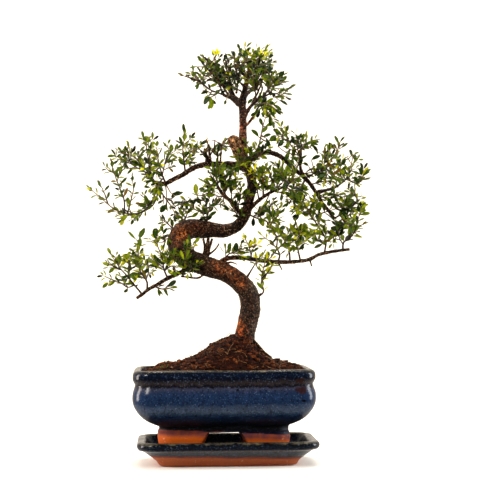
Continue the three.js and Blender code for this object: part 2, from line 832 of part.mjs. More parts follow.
// All shoots: stems first, then leaves, and a leaf that would touch another piece is left off
function growShoots(trunk, seat) {
  const grown = [];
  for (const [name, lines] of Object.entries(shoots)) {
    const { curves, solid } = stemsOf(lines, 0);
    let bare = solid.subtract(seat);
    for (const other of grown) {
      if (bare.minGap(other.solid, 1) < seatGap) {
        bare = bare.subtract(other.wide);
      }
    }
    grown.push({ name, curves, solid: largestBody(bare), wide: stemsOf(lines, seatGap).solid });
  }
  let seed = 1;
  for (const spray of grown) {
    const others = [trunk, ...grown.filter((other) => other !== spray).map((other) => other.solid)];
    const blades = spray.curves.flatMap((curve, index) => leavesAlong(curve, seed + index * 17, others));
    spray.solid = largestBody(union([spray.solid, ...blades]).simplify(0.08));
    seed += 101;
  }
  return grown;
}

function addMesh(group, name, solid, material) {
  const mesh = new THREE.Mesh(geometryOf(solid), material);
  mesh.name = name;
  group.add(mesh);
}

function buildBonsai() {
  const bonsai = new THREE.Group();
  bonsai.name = "syzygium_bonsai";
  const trunk = wood(0);
  const seat = wood(seatGap);
  addMesh(bonsai, "drip_tray", dripTray(), darkGlaze());
  addMesh(bonsai, "pot", pot(), blueGlaze());
  addMesh(bonsai, "soil", soil(seat), peat());
  addMesh(bonsai, "trunk", trunk, bark());
  growShoots(trunk, seat).forEach(({ name, solid }, index) => {
    addMesh(bonsai, name, solid, leafGreen(scatter(index * 0.7)));
  });
  return bonsai;
}

export default buildBonsai();
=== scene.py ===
import bpy
import math
import random
import numpy as np
from itertools import combinations
from mathutils import Matrix, Vector, noise


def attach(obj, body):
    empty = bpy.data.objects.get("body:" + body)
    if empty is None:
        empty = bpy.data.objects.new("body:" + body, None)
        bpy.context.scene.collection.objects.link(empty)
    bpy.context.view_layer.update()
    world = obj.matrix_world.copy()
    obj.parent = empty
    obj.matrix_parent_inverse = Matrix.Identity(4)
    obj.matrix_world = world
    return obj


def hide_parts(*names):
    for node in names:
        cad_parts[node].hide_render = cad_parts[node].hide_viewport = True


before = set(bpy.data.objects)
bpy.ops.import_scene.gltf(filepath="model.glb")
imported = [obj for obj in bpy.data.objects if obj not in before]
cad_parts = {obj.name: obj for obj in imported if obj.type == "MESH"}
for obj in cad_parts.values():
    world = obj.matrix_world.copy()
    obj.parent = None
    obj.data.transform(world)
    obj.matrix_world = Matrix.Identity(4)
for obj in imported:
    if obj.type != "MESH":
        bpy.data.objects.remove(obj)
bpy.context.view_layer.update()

print("frame loaded")

# Everything below is drawn in millimetres and scaled to metres when a mesh is made
millimetre = 0.001


def rgb(red, green, blue):
    return tuple((c / 255) ** 2.2 for c in (red, green, blue))


def blend(a, b, share):
    return tuple(x + (y - x) * share for x, y in zip(a, b))


def smoothstep(low, high, value):
    t = np.clip((value - low) / (high - low), 0, 1)
    return t * t * (3 - 2 * t)


def unit(vector):
    vector = np.asarray(vector, dtype=float)
    return vector / max(np.linalg.norm(vector), 1e-9)


# Centripetal spline through the points, resampled at an even step
def smoothPath(points, step):
    p = np.array(points, dtype=float)
    p = np.vstack([2 * p[0] - p[1], p, 2 * p[-1] - p[-2]])
    dense = []
    for i in range(1, len(p) - 2):
        p0, p1, p2, p3 = p[i - 1:i + 3]
        t0 = 0.0
        t1 = t0 + np.linalg.norm(p1 - p0) ** 0.5
        t2 = t1 + np.linalg.norm(p2 - p1) ** 0.5
        t3 = t2 + np.linalg.norm(p3 - p2) ** 0.5
        for t in np.linspace(t1, t2, 14, endpoint=False):
            a1 = ((t1 - t) * p0 + (t - t0) * p1) / (t1 - t0)
            a2 = ((t2 - t) * p1 + (t - t1) * p2) / (t2 - t1)
            a3 = ((t3 - t) * p2 + (t - t2) * p3) / (t3 - t2)
            b1 = ((t2 - t) * a1 + (t - t0) * a2) / (t2 - t0)
            b2 = ((t3 - t) * a2 + (t - t1) * a3) / (t3 - t1)
            dense.append(((t2 - t) * b1 + (t - t1) * b2) / (t2 - t1))
    dense.append(p[-2])
    dense = np.array(dense)
    travelled = np.concatenate([[0], np.cumsum(np.linalg.norm(np.diff(dense, axis=0), axis=1))])
    count = max(3, int(round(travelled[-1] / step)) + 1)
    even = np.linspace(0, travelled[-1], count)
    return np.stack([np.interp(even, travelled, dense[:, k]) for k in range(3)], axis=1)


# Directions along a path, with two side directions that don't twist
def pathFrames(path):
    heading = np.gradient(path, axis=0)
    heading /= np.linalg.norm(heading, axis=1)[:, None]
    side = np.cross(heading[0], (0, 0, 1.0))
    if np.linalg.norm(side) < 0.1:
        side = np.cross(heading[0], (0, 1.0, 0))
    sides = []
    for direction in heading:
        side = unit(side - direction * np.dot(side, direction))
        sides.append(side)
    sides = np.array(sides)
    return heading, sides, np.cross(heading, sides)


def newBag():
    return {"points": [], "faces": [], "slots": [], "tints": [], "uvs": [], "count": 0}


def addPatch(bag, points, faces, tint, slot=0, uv=None):
    points = np.asarray(points, dtype=float)
    shift = bag["count"]
    bag["points"].append(points)
    bag["faces"].extend(tuple(i + shift for i in face) for face in faces)
    bag["slots"].extend([slot] * len(faces))
    bag["tints"].append(np.broadcast_to(np.asarray(tint, dtype=float), points.shape))
    bag["uvs"].append(np.zeros((len(points), 2)) if uv is None else np.asarray(uv, dtype=float))
    bag["count"] += len(points)


# Faces of a tube of rings with a point at each end
def tubeFaces(rings, sides):
    faces = []
    for r in range(rings - 1):
        for i in range(sides):
            a = r * sides + i
            b = r * sides + (i + 1) % sides
            faces.append((a, b, b + sides, a + sides))
    first = rings * sides
    last = (rings - 1) * sides
    for i in range(sides):
        j = (i + 1) % sides
        faces.append((first, j, i))
        faces.append((first + 1, last + i, last + j))
    return faces


# Round tube along a path; radius is a number or one value for each ring
def addTube(bag, path, radius, sides, tint):
    radius = np.broadcast_to(np.asarray(radius, dtype=float), (len(path),))
    heading, side, up = pathFrames(path)
    angle = np.arange(sides) / sides * 2 * math.pi
    ring = side[:, None] * np.cos(angle)[None, :, None] + up[:, None] * np.sin(angle)[None, :, None]
    points = path[:, None] + ring * radius[:, None, None]
    dome = 0.4  # share of the radius that each end bulges out
    ends = [path[0] - heading[0] * radius[0] * dome, path[-1] + heading[-1] * radius[-1] * dome]
    tint = np.asarray(tint, dtype=float)
    if tint.ndim == 2:
        tint = np.vstack([np.repeat(tint, sides, axis=0), tint[:1], tint[-1:]])
    addPatch(bag, np.vstack([points.reshape(-1, 3), ends]), tubeFaces(len(path), sides), tint)


# Rings round a path, pushed in and out by relief(place, ring), with an end point before and after
def roughRings(path, radius, sides, relief, ends):
    heading, side, up = pathFrames(path)
    points = []
    for r, centre in enumerate(path):
        for i in range(sides):
            angle = i / sides * 2 * math.pi
            outward = side[r] * math.cos(angle) + up[r] * math.sin(angle)
            place = centre + outward * radius[r]
            points.append(place + outward * relief(place, r))
    points += [path[0] - heading[0] * ends[0], path[-1] + heading[-1] * ends[1]]
    return np.array(points)


# Turns a bag into an object that rides on the frame and stands for its CAD node
def makePiece(name, bag, materials, node):
    points = np.vstack(bag["points"]) * millimetre
    mesh = bpy.data.meshes.new(name)
    mesh.from_pydata(points.tolist(), [], bag["faces"])
    for material in materials:
        mesh.materials.append(material)
    mesh.polygons.foreach_set("material_index", bag["slots"])
    tints = np.ones((len(points), 4))
    tints[:, :3] = np.vstack(bag["tints"])
    tintLayer = mesh.color_attributes.new("tint", "FLOAT_COLOR", "POINT")
    tintLayer.data.foreach_set("color", tints.ravel())
    corners = np.empty(len(mesh.loops), dtype=np.int32)
    mesh.loops.foreach_get("vertex_index", corners)
    uvLayer = mesh.uv_layers.new(name="blade")
    uvLayer.data.foreach_set("uv", np.vstack(bag["uvs"])[corners].ravel())
    mesh.polygons.foreach_set("use_smooth", [True] * len(mesh.polygons))
    mesh.update()
    piece = bpy.data.objects.new(name, mesh)
    bpy.context.scene.collection.objects.link(piece)
    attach(piece, "root")
    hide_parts(node)


def newMaterial(name):
    material = bpy.data.materials.new(name)
    material.use_nodes = True
    tree = material.node_tree
    shader = tree.nodes["Principled BSDF"]
    place = tree.nodes.new("ShaderNodeTexCoord")
    return material, tree, shader, place.outputs["Object"]


# Links what every finish here has: colour, roughness and relief, and sets how strongly it shines
def setSurface(tree, shader, colour, roughness, relief, shine=0.5):
    tree.links.new(colour, shader.inputs["Base Color"])
    tree.links.new(roughness, shader.inputs["Roughness"])
    tree.links.new(relief, shader.inputs["Normal"])
    shader.inputs["Specular IOR Level"].default_value = shine


def noiseNode(tree, place, scale, detail=3.0, roughness=0.55, distortion=0.0):
    node = tree.nodes.new("ShaderNodeTexNoise")
    node.inputs["Scale"].default_value = scale
    node.inputs["Detail"].default_value = detail
    node.inputs["Roughness"].default_value = roughness
    node.inputs["Distortion"].default_value = distortion
    tree.links.new(place, node.inputs["Vector"])
    return node.outputs["Fac"]


def cellNode(tree, place, scale, feature="F1"):
    node = tree.nodes.new("ShaderNodeTexVoronoi")
    node.feature = feature
    node.inputs["Scale"].default_value = scale
    tree.links.new(place, node.inputs["Vector"])
    return node.outputs["Distance"]


# Colour or grey ramp; stops are (position, colour)
def rampNode(tree, value, stops):
    node = tree.nodes.new("ShaderNodeValToRGB")
    ramp = node.color_ramp
    while len(ramp.elements) < len(stops):
        ramp.elements.new(0.5)
    for element, (position, colour) in zip(ramp.elements, stops):
        element.position = position
        grey = not isinstance(colour, tuple)
        element.color = (colour,) * 3 + (1,) if grey else colour + (1,)
    tree.links.new(value, node.inputs["Fac"])
    return node.outputs["Color"]


def mixNode(tree, share, first, second, mode="MIX"):
    node = tree.nodes.new("ShaderNodeMix")
    node.data_type = "RGBA"
    node.blend_type = mode
    for value, socket in ((share, node.inputs[0]), (first, node.inputs[6]), (second, node.inputs[7])):
        if isinstance(value, tuple):
            socket.default_value = value + (1,)
        elif isinstance(value, float):
            socket.default_value = value
        else:
            tree.links.new(value, socket)
    return node.outputs[2]


def mathNode(tree, kind, first, second=0.0, clamp=False):
    node = tree.nodes.new("ShaderNodeMath")
    node.operation = kind
    node.use_clamp = clamp
    for value, socket in ((first, node.inputs[0]), (second, node.inputs[1])):
        if isinstance(value, float):
            socket.default_value = value
        else:
            tree.links.new(value, socket)
    return node.outputs[0]


# Grey value spread between two ends
def rangeNode(tree, value, low, high, newLow, newHigh):
    node = tree.nodes.new("ShaderNodeMapRange")
    node.inputs["From Min"].default_value = low
    node.inputs["From Max"].default_value = high
    node.inputs["To Min"].default_value = newLow
    node.inputs["To Max"].default_value = newHigh
    tree.links.new(value, node.inputs["Value"])
    return node.outputs["Result"]


def bumpNode(tree, height, distance, strength, below=None):
    node = tree.nodes.new("ShaderNodeBump")
    node.inputs["Distance"].default_value = distance
    node.inputs["Strength"].default_value = strength
    tree.links.new(height, node.inputs["Height"])
    if below is not None:
        tree.links.new(below, node.inputs["Normal"])
    return node.outputs["Normal"]


# Colour painted on the mesh
def tintNode(tree):
    node = tree.nodes.new("ShaderNodeAttribute")
    node.attribute_name = "tint"
    return node.outputs["Color"]


# Separate X, Y and Z of a place
def splitNode(tree, place):
    node = tree.nodes.new("ShaderNodeSeparateXYZ")
    tree.links.new(place, node.inputs["Vector"])
    return node.outputs


# Camera a little left of the middle, nearly level, with the picture turned half a degree
cameraView = {
    "place": (-0.069, -2.068, 0.1977),
    "picture": 500,  # pixels across
    "focal": 1842.0,  # in those pixels
    "vanishing": (164.0, 286.3),  # where lines running straight back meet, in those pixels
    "roll": 0.418,
}

studio = {
    "floor": (0.93, 0.9, 0.85),
    "sweepBend": 1.2,
    "backdropTone": (1.0, 0.9, 0.78),
    "skyBright": 0.8,
    "skyDark": 0.12,
    "key": 36.0,
    "fill": 28.0,
    "left": 18.0,
    "right": 16.0,
    "top": 16.0,
    "backdrop": 110.0,
}


def makeCamera():
    view = cameraView
    bpy.context.scene.view_settings.view_transform = "Standard"
    data = bpy.data.cameras.new("photoCamera")
    data.sensor_width = 36
    data.lens = view["focal"] / view["picture"] * data.sensor_width
    data.clip_start = 0.1
    data.clip_end = 60
    across, down = view["vanishing"]
    middle = view["picture"] / 2
    away = Vector(((across - middle) / view["focal"], (middle - down) / view["focal"], -1)).normalized()
    lean = math.radians(view["roll"])
    up = Vector((-math.sin(lean), math.cos(lean), 0))
    up = (up - away * up.dot(away)).normalized()
    turned = Matrix((away.cross(up), away, up))  # world directions as the camera sees them
    camera = bpy.data.objects.new("photoCamera", data)
    camera.matrix_world = Matrix.Translation(view["place"]) @ turned.to_4x4()
    bpy.context.scene.collection.objects.link(camera)
    bpy.context.scene.camera = camera


# Pale paper sweep: floor that curves up into a backdrop far behind
def makeStudio():
    bend = studio["sweepBend"]
    profile = [(-4.0, 0.0), (0.4, 0.0), (2.2, 0.0)]
    for i in range(1, 13):
        angle = i / 12 * math.pi / 2
        profile.append((2.2 + bend * math.sin(angle), bend - bend * math.cos(angle)))
    profile.append((2.2 + bend, 4.5))
    material, tree, shader, place = newMaterial("palePaper")
    grain = noiseNode(tree, place, 35.0, 4.0)
    paper = studio["floor"]
    shade = mixNode(tree, grain, tuple(c * 0.985 for c in paper), paper)
    tree.links.new(shade, shader.inputs["Base Color"])
    shader.inputs["Roughness"].default_value = 0.9
    points = [(x, y, z) for y, z in profile for x in (-5.0, 5.0)]
    faces = [(2 * i, 2 * i + 1, 2 * i + 3, 2 * i + 2) for i in range(len(profile) - 1)]
    mesh = bpy.data.meshes.new("paperSweep")
    mesh.from_pydata(points, [], faces)
    mesh.polygons.foreach_set("use_smooth", [True] * len(faces))
    mesh.materials.append(material)
    sheet = bpy.data.objects.new("paperSweep", mesh)
    sheet.visible_glossy = False  # it would mirror as a pale veil in the glaze
    bpy.context.scene.collection.objects.link(sheet)

    # Sky: bright behind the plant, darker on the camera's side
    world = bpy.data.worlds.new("softRoom")
    world.use_nodes = True
    tree = world.node_tree
    place = tree.nodes.new("ShaderNodeTexCoord")
    depth = splitNode(tree, place.outputs["Generated"])["Y"]
    strength = rangeNode(tree, depth, -0.45, 0.25, studio["skyDark"], studio["skyBright"])
    backdrop = tree.nodes["Background"]
    backdrop.inputs["Color"].default_value = studio["backdropTone"] + (1,)
    tree.links.new(strength, backdrop.inputs["Strength"])
    bpy.context.scene.world = world


def softLight(name, place, target, size, power, colour=(1, 1, 1), shines=True):
    data = bpy.data.lights.new(name, "AREA")
    data.shape = "RECTANGLE"
    data.size, data.size_y = size
    data.energy = power
    data.color = colour
    light = bpy.data.objects.new(name, data)
    light.location = place
    light.visible_glossy = shines
    light.rotation_euler = (Vector(target) - Vector(place)).to_track_quat("-Z", "Y").to_euler()
    bpy.context.scene.collection.objects.link(light)


def makeLights():
    middle = (0, 0, 0.2)
    softLight("keyBox", (-1.45, -1.35, 1.5), middle, (0.5, 0.7), studio["key"], (1, 0.96, 0.9))
    softLight("fillBox", (1.35, -1.5, 1.25), middle, (0.5, 0.7), studio["fill"], (1, 0.98, 0.96), False)
    softLight("leftBox", (-1.35, 0.1, 0.35), (0, 0, 0.15), (0.35, 1.0), studio["left"], (1, 0.9, 0.84))
    softLight("rightBox", (1.35, 0.1, 0.35), (0, 0, 0.15), (0.35, 1.0), studio["right"], (0.9, 0.96, 1))
    tone = studio["backdropTone"]
    softLight("backdropBox", (0, 1.4, 2.9), (0, 3.0, 0.5), (1.6, 0.5), studio["backdrop"], tone)
    softLight("topBox", (0.1, 0.3, 1.6), (0, 0, 0.2), (1.2, 0.8), studio["top"])


makeCamera()
makeStudio()
makeLights()
print("camera, studio and lights made")


# Rounded rectangle in plan, evenly enough spaced that every ring matches the next
def plateRing(halfX, halfY, corner, z, shiftX, cornerSteps=14, longSteps=22, shortSteps=16):
    centres = [
        (halfX - corner, halfY - corner, longSteps),
        (corner - halfX, halfY - corner, shortSteps),
        (corner - halfX, corner - halfY, longSteps),
        (halfX - corner, corner - halfY, shortSteps),
    ]
    ring = []
    for quarter, (x, y, steps) in enumerate(centres):
        for i in range(cornerSteps + 1):
            angle = (quarter + i / cornerSteps) * math.pi / 2
            ring.append((x + corner * math.cos(angle), y + corner * math.sin(angle)))
        nextX, nextY, _ = centres[(quarter + 1) % 4]
        angle = (quarter + 1) * math.pi / 2
        start = np.array(ring[-1])
        end = np.array((nextX + corner * math.cos(angle), nextY + corner * math.sin(angle)))
        ring.extend(tuple(start + (end - start) * i / steps) for i in range(1, steps))
    points = np.array(ring)
    return np.column_stack([points[:, 0] + shiftX, points[:, 1], np.full(len(points), z)])


# Closed shell of matching rings
def addShell(bag, rings, bottomCentre, topCentre, tint):
    count = len(rings[0])
    points = np.vstack([np.vstack(rings), [bottomCentre, topCentre]])
    addPatch(bag, points, tubeFaces(len(rings), count), tint)


# Without a seed noise_vector shifts its places by other amounts in every run
noise.seed_set(4)


# Slow waves that keep thrown ware from looking machine made
def wobble(points, size, scale, seed):
    moved = points.copy()
    for i, point in enumerate(points):
        at = Vector(point) * scale + Vector((seed, seed * 0.7, 0))
        moved[i] += np.array(noise.noise_vector(at)) * size
    return moved


glazeLook = {
    "rough": (0.07, 0.2),
    "shine": 0.2,
    "runScale": 160.0,
    "driftScale": 55.0,
    "speckScale": 620.0,
    "paleSpeck": rgb(84, 98, 118),
    "darkSpeck": rgb(8, 12, 26),
    "pitDepth": 0.00022,
    "stain": rgb(80, 46, 52),
    "chip": rgb(196, 150, 122),
}


# Shiny glaze over clay: bands of colour by height, specks, runs, and bare clay below a wavy line
def glazeMaterial(name, shape):
    look = glazeLook
    low, high = shape["bands"][0][0], shape["glazeTop"]
    material, tree, shader, place = newMaterial(name)
    split = splitNode(tree, place)
    stretched = tree.nodes.new("ShaderNodeMapping")
    stretched.inputs["Scale"].default_value = (1, 1, shape["streaks"])
    tree.links.new(place, stretched.inputs["Vector"])
    run = noiseNode(tree, stretched.outputs["Vector"], look["runScale"], 5.0, 0.65)
    drift = noiseNode(tree, place, look["driftScale"], 4.0)
    wave = mathNode(tree, "ADD", split["Z"], rangeNode(tree, run, 0, 1, -0.0035, 0.0035))
    wave = mathNode(tree, "ADD", wave, rangeNode(tree, drift, 0, 1, -0.003, 0.003))
    level = rangeNode(tree, wave, low * millimetre, high * millimetre, 0, 1)
    # Colour by height from the band list; the beige top bands and the pot's brown-grey neck band are painted
    # reflection
    colour = rampNode(tree, level, [((z - low) / (high - low), c) for z, c in shape["bands"]])

    # Pale and dark specks, and pooled patches
    speck = noiseNode(tree, place, look["speckScale"], 2.0, 0.7)
    pale = rampNode(tree, speck, [(0.58, 0.0), (0.72, 1.0)])
    colour = mixNode(tree, mathNode(tree, "MULTIPLY", pale, 0.6), colour, look["paleSpeck"])
    grit = noiseNode(tree, place, look["speckScale"] * 0.7, 2.0, 0.8, 0.4)
    dark = rampNode(tree, grit, [(0.32, 1.0), (0.46, 0.0)])
    colour = mixNode(tree, mathNode(tree, "MULTIPLY", dark, 0.8), colour, look["darkSpeck"])
    pooled = rampNode(tree, run, [(0.3, 0.62), (0.7, 1.25)])
    colour = mixNode(tree, 1.0, colour, pooled, "MULTIPLY")

    # Burnt spots where the glaze pulled back
    for spot, size, burnt in shape["marks"]:
        local = tree.nodes.new("ShaderNodeMapping")
        local.vector_type = "TEXTURE"
        local.inputs["Location"].default_value = tuple(c * millimetre for c in spot)
        local.inputs["Scale"].default_value = tuple(c * millimetre for c in size)
        tree.links.new(place, local.inputs["Vector"])
        reach = tree.nodes.new("ShaderNodeVectorMath")
        reach.operation = "LENGTH"
        tree.links.new(local.outputs["Vector"], reach.inputs[0])
        torn = mathNode(tree, "ADD", reach.outputs["Value"], rangeNode(tree, run, 0.3, 0.7, -0.5, 0.5))
        colour = mixNode(tree, rampNode(tree, torn, [(0.45, 0.9), (0.95, 0.0)]), colour, burnt)

    # Clay shows below the glaze line, with a purplish stain just under it
    clay, clayTop = shape["clay"], shape["clayTop"]
    edge = mathNode(tree, "ADD", split["Z"], mathNode(tree, "MULTIPLY", split["X"], shape["lean"]))
    edge = mathNode(tree, "ADD", edge, rangeNode(tree, drift, 0, 1, -0.0016, 0.0016))
    bare = rangeNode(tree, edge, (clayTop + 0.25) * millimetre, (clayTop - 0.25) * millimetre, 0, 1)
    bare = mathNode(tree, "MULTIPLY", bare, tintNode(tree))
    clayGrain = noiseNode(tree, place, 420.0, 5.0, 0.7)
    clayTone = mixNode(tree, clayGrain, tuple(c * 0.62 for c in clay), tuple(min(1, c * 1.3) for c in clay))
    stainLow = (clayTop - shape["stain"]) * millimetre
    stained = rangeNode(tree, edge, stainLow, stainLow + shape["stain"] * 0.5 * millimetre, 0, 1)
    stained = mathNode(tree, "MULTIPLY", stained, rangeNode(tree, run, 0.3, 0.7, 0.6, 1.0))
    clayTone = mixNode(tree, stained, clayTone, look["stain"])
    chips = rampNode(tree, noiseNode(tree, place, 210.0, 2.0), [(0.68, 0.0), (0.74, 1.0)])
    clayTone = mixNode(tree, mathNode(tree, "MULTIPLY", chips, 0.6), clayTone, look["chip"])
    colour = mixNode(tree, bare, colour, clayTone)

    gloss = rangeNode(tree, drift, 0.25, 0.75, *look["rough"])
    dullTop = shape["dullBelow"] * millimetre
    gloss = mathNode(tree, "ADD", gloss, rangeNode(tree, split["Z"], dullTop, dullTop - 0.012, 0, 0.4))
    dull = rangeNode(tree, clayGrain, 0, 1, 0.6, 0.85)
    roughness = tree.nodes.new("ShaderNodeMix")
    tree.links.new(bare, roughness.inputs[0])
    tree.links.new(gloss, roughness.inputs[2])
    tree.links.new(dull, roughness.inputs[3])
    shader.inputs["IOR"].default_value = 1.5

    ripple = bumpNode(tree, drift, 0.0012, 0.35)
    pits = bumpNode(tree, speck, look["pitDepth"], 0.5, ripple)
    step = bumpNode(tree, bare, 0.0006, 0.5, pits)  # where the glaze ends
    setSurface(tree, shader, colour, roughness.outputs[0], step, look["shine"])
    return material


potShape = {
    "shift": -4.0,
    "inset": 25.0,
    "outer": [
        (71.5, 37, 17), (72, 43.2, 17), (76, 45.2, 18), (81.8, 48, 19), (88.2, 52.2, 20),
        (93.8, 57.6, 22), (98.2, 64.2, 23), (100.2, 69.6, 24), (100.8, 75, 24), (100.2, 81, 24),
        (98.3, 87, 23), (97.4, 90, 22), (98.6, 92.6, 22), (99.9, 95.6, 22), (100, 99.4, 22),
        (99.6, 102.2, 22), (98.2, 104.3, 22), (95.4, 105.6, 20), (92.6, 106, 18), (91.2, 105, 17),
    ],
    "inner": [
        (90.4, 100, 17), (90.4, 90, 17), (92, 76, 18), (88, 62, 17), (78, 52, 15), (68, 46, 13),
        (66, 45, 12),
    ],
    "footOuter": [(10.3, 68), (11.8, 70), (31, 73.3), (35, 73.3), (38, 71.4)],
    "footInner": [(10.3, 60), (38, 62)],
    "footHalf": 73.3,
    "footTop": 38.4,  # a little inside the pot's floor
    "archTop": 37.4,
    "frontGap": 18.4,
    "sideGap": 12.0,
    "slant": 0.62,
    "bands": [
        (27, rgb(8, 7, 12)), (33, rgb(22, 22, 42)), (40, rgb(14, 15, 28)), (43, rgb(2, 4, 9)),
        (46, rgb(5, 14, 28)), (55, rgb(9, 26, 48)),
        (58, rgb(26, 40, 58)), (62, rgb(50, 60, 76)), (67, rgb(42, 53, 72)), (70, rgb(20, 36, 60)),
        (78, rgb(24, 40, 66)), (82, rgb(30, 42, 66)), (86, rgb(48, 50, 66)), (88.5, rgb(14, 14, 20)),
        # Brown-grey at 92: painted reflection of the warm room on the neck
        (92, rgb(42, 36, 36)), (94.5, rgb(30, 29, 34)), (96.5, rgb(8, 13, 24)), (101, rgb(13, 22, 37)),
        # Beige top at 106: painted reflection of the pale backdrop on the rim
        (104.6, rgb(12, 13, 15)), (106, rgb(88, 78, 60)),
    ],
    "glazeTop": 106,
    "clay": rgb(186, 84, 22),
    "clayTop": 37.0,
    "lean": 0.05,  # slope of the glaze line
    "stain": 8.5,
    "streaks": 0.35,
    "dullBelow": 60.0,
    "marks": [
        ((80, -73, 84), (8.0, 9.0, 5.0), rgb(40, 22, 20)),
        ((78, -73, 94.5), (6.0, 9.0, 4.0), rgb(38, 22, 18)),
        ((82, -72, 72.5), (2.6, 8.0, 2.0), rgb(3, 3, 4)),
        ((10, -76, 85), (2.2, 8.0, 2.0), rgb(4, 4, 6)),
        ((-18, -76, 88), (3.0, 8.0, 1.4), rgb(4, 4, 6)),
    ],
}


# Height of the foot apron's lower edge: it is cut away in the middle of every side, with slanted ends
def footEdge(x, y):
    shape = potShape
    low = shape["footOuter"][0][0]
    rise = shape["archTop"] - low
    onFront = abs(y) * 1.35 > abs(x) * 0.98
    along = abs(x) if onFront else abs(y)
    gap = shape["frontGap"] if onFront else shape["sideGap"]
    climb = (gap + shape["slant"] * rise - along) / shape["slant"]
    return low + min(max(climb, 0), rise)


def addFeet(bag, tint):
    shape = potShape
    inset, half = shape["inset"], shape["footHalf"]
    guide = plateRing(half, half - inset, 17, 0, 0, 12, 70, 46)
    flat = guide[:, :2] / np.array([half, half - inset])
    bottoms = np.array([footEdge(x, y) for x, y, _ in guide])
    inner = [1, 0.75, 0.5, 0.25, 0.08, 0]
    outer = [0, 0.03, 0.1, 0.25, 0.5, 0.75, 1]
    rows = []
    for levels, wall in ((inner, shape["footInner"]), (outer, shape["footOuter"])):
        heights, widths = zip(*wall)
        for level in levels:
            height = bottoms + (shape["footTop"] - bottoms) * level
            lip = 0.5 if levels is outer and level == 0 else 0.0
            wide = np.interp(height, heights, widths) - lip
            ring = np.column_stack([flat[:, 0] * wide, flat[:, 1] * (wide - inset), height])
            ring[:, 0] += shape["shift"]
            rows.append(ring)
    count = len(guide)
    faces = []
    for r in range(len(rows)):
        nextRow = (r + 1) % len(rows)
        for i in range(count):
            j = (i + 1) % count
            faces.append((nextRow * count + i, nextRow * count + j, r * count + j, r * count + i))
    addPatch(bag, np.vstack(rows), faces, tint)


def makePot():
    shape = potShape
    outer = smoothPath(shape["outer"], 1.7)
    inner = smoothPath(shape["inner"], 5.0)
    rings = []
    for half, z, corner in np.vstack([outer, inner]):
        rings.append(plateRing(half, half - shape["inset"], corner, z, shape["shift"]))
    bag = newBag()
    points = [wobble(ring, 0.35, 0.03, 4.0) for ring in rings]
    addShell(bag, points, (shape["shift"], 0, 37), (shape["shift"], 0, 45), (1, 1, 1))
    addFeet(bag, (1, 1, 1))
    makePiece("glazed_pot", bag, [glazeMaterial("cobaltGlaze", shape)], "pot")


trayShape = {
    "inset": 25.0,
    "profile": [
        (72.8, 0, 13), (75.6, 1.2, 14), (77.2, 3.6, 15), (79, 6.2, 16), (86.6, 12.5, 18),
        (94, 17.8, 21), (97.8, 19, 22), (99.6, 21.4, 22), (100, 24.2, 22), (99.1, 26.3, 22),
        (96.5, 27.3, 21), (93, 27.5, 19), (91.2, 26.6, 18), (84.5, 12.4, 15), (81.5, 10, 13),
    ],
    "bands": [
        (8, rgb(30, 24, 22)), (12, rgb(32, 34, 40)), (15, rgb(44, 48, 58)), (18, rgb(34, 34, 42)),
        # Beige top at 28: painted reflection of the pale backdrop on the lip
        (20, rgb(20, 22, 30)), (23, rgb(20, 25, 34)), (25.5, rgb(11, 12, 14)), (28, rgb(84, 78, 62)),
    ],
    "glazeTop": 28,
    "clay": rgb(158, 84, 50),
    "clayTop": 11.8,
    "lean": 0.02,
    "stain": 3.0,
    "streaks": 0.3,
    "dullBelow": 0.0,
    "marks": [],
}


def makeTray():
    shape = trayShape
    rows = smoothPath(shape["profile"], 1.6)
    rows[:, 1] = np.maximum(rows[:, 1], 0)
    rings = [plateRing(half, half - shape["inset"], corner, z, 0) for half, z, corner in rows]
    bag = newBag()
    points = []
    for ring in rings:
        moved = wobble(ring, 0.4, 0.03, 9.0)
        moved[:, 2] = np.where(ring[:, 2] < 1, ring[:, 2], moved[:, 2])
        points.append(moved)
    # The clay shows outside only: past the crest the glaze covers all
    outside = (np.arange(len(rows)) <= rows[:, 1].argmax()).astype(float)
    tints = np.append(np.repeat(outside, len(rings[0])), [1.0, 0.0])[:, None].repeat(3, axis=1)
    addShell(bag, points, (0, 0, 0), (0, 0, 10), tints)
    makePiece("glazed_tray", bag, [glazeMaterial("slateGlaze", shape)], "drip_tray")


makePot()
makeTray()
print("pot and tray made")

soilShape = {
    "edge": 101.0,
    "shift": -4.0,
    "crest": [
        (-94, 1), (-84, 4), (-75, 9), (-66, 12), (-58, 11), (-50, 13), (-38, 17), (-30, 21),
        (-23, 26), (-15, 32), (-8, 35), (-1, 38), (7, 41), (16, 42), (24, 39), (30, 31), (36, 25),
        (43, 19), (50, 15), (58, 12), (68, 10), (78, 8), (88, 3),
    ],
    "clump": 2.3,
    "crumbs": 3800,
    "crumbSizes": [0.7, 0.9, 1.1, 1.4, 2.0],
    "fibres": 300,
    "fibre": (rgb(74, 38, 24), rgb(172, 128, 88)),
    "moss": (rgb(52, 62, 22), rgb(104, 112, 44)),
    "browns": [rgb(14, 6, 4), rgb(34, 15, 8), rgb(60, 27, 14), rgb(112, 60, 30)],
    "dampAndShade": rgb(34, 13, 6),
    "seed": 11,
}


def soilHeight(x, y):
    xs, heights = zip(*soilShape["crest"])
    across = max(0.0, 1 - (abs(y) / 66) ** 2.2)
    base = soilShape["edge"] - 1.5 + float(np.interp(x, xs, heights)) * across ** 0.8
    at = Vector((x, y, 0))
    lumps = noise.noise(at * 0.11) * 1.3 + abs(noise.noise(at * 0.27)) * soilShape["clump"]
    crumb = abs(noise.noise(at * 0.8 + Vector((5, 1, 2)))) * 1.4
    return base + (lumps + crumb) * min(1.0, across * 3 + 0.25)


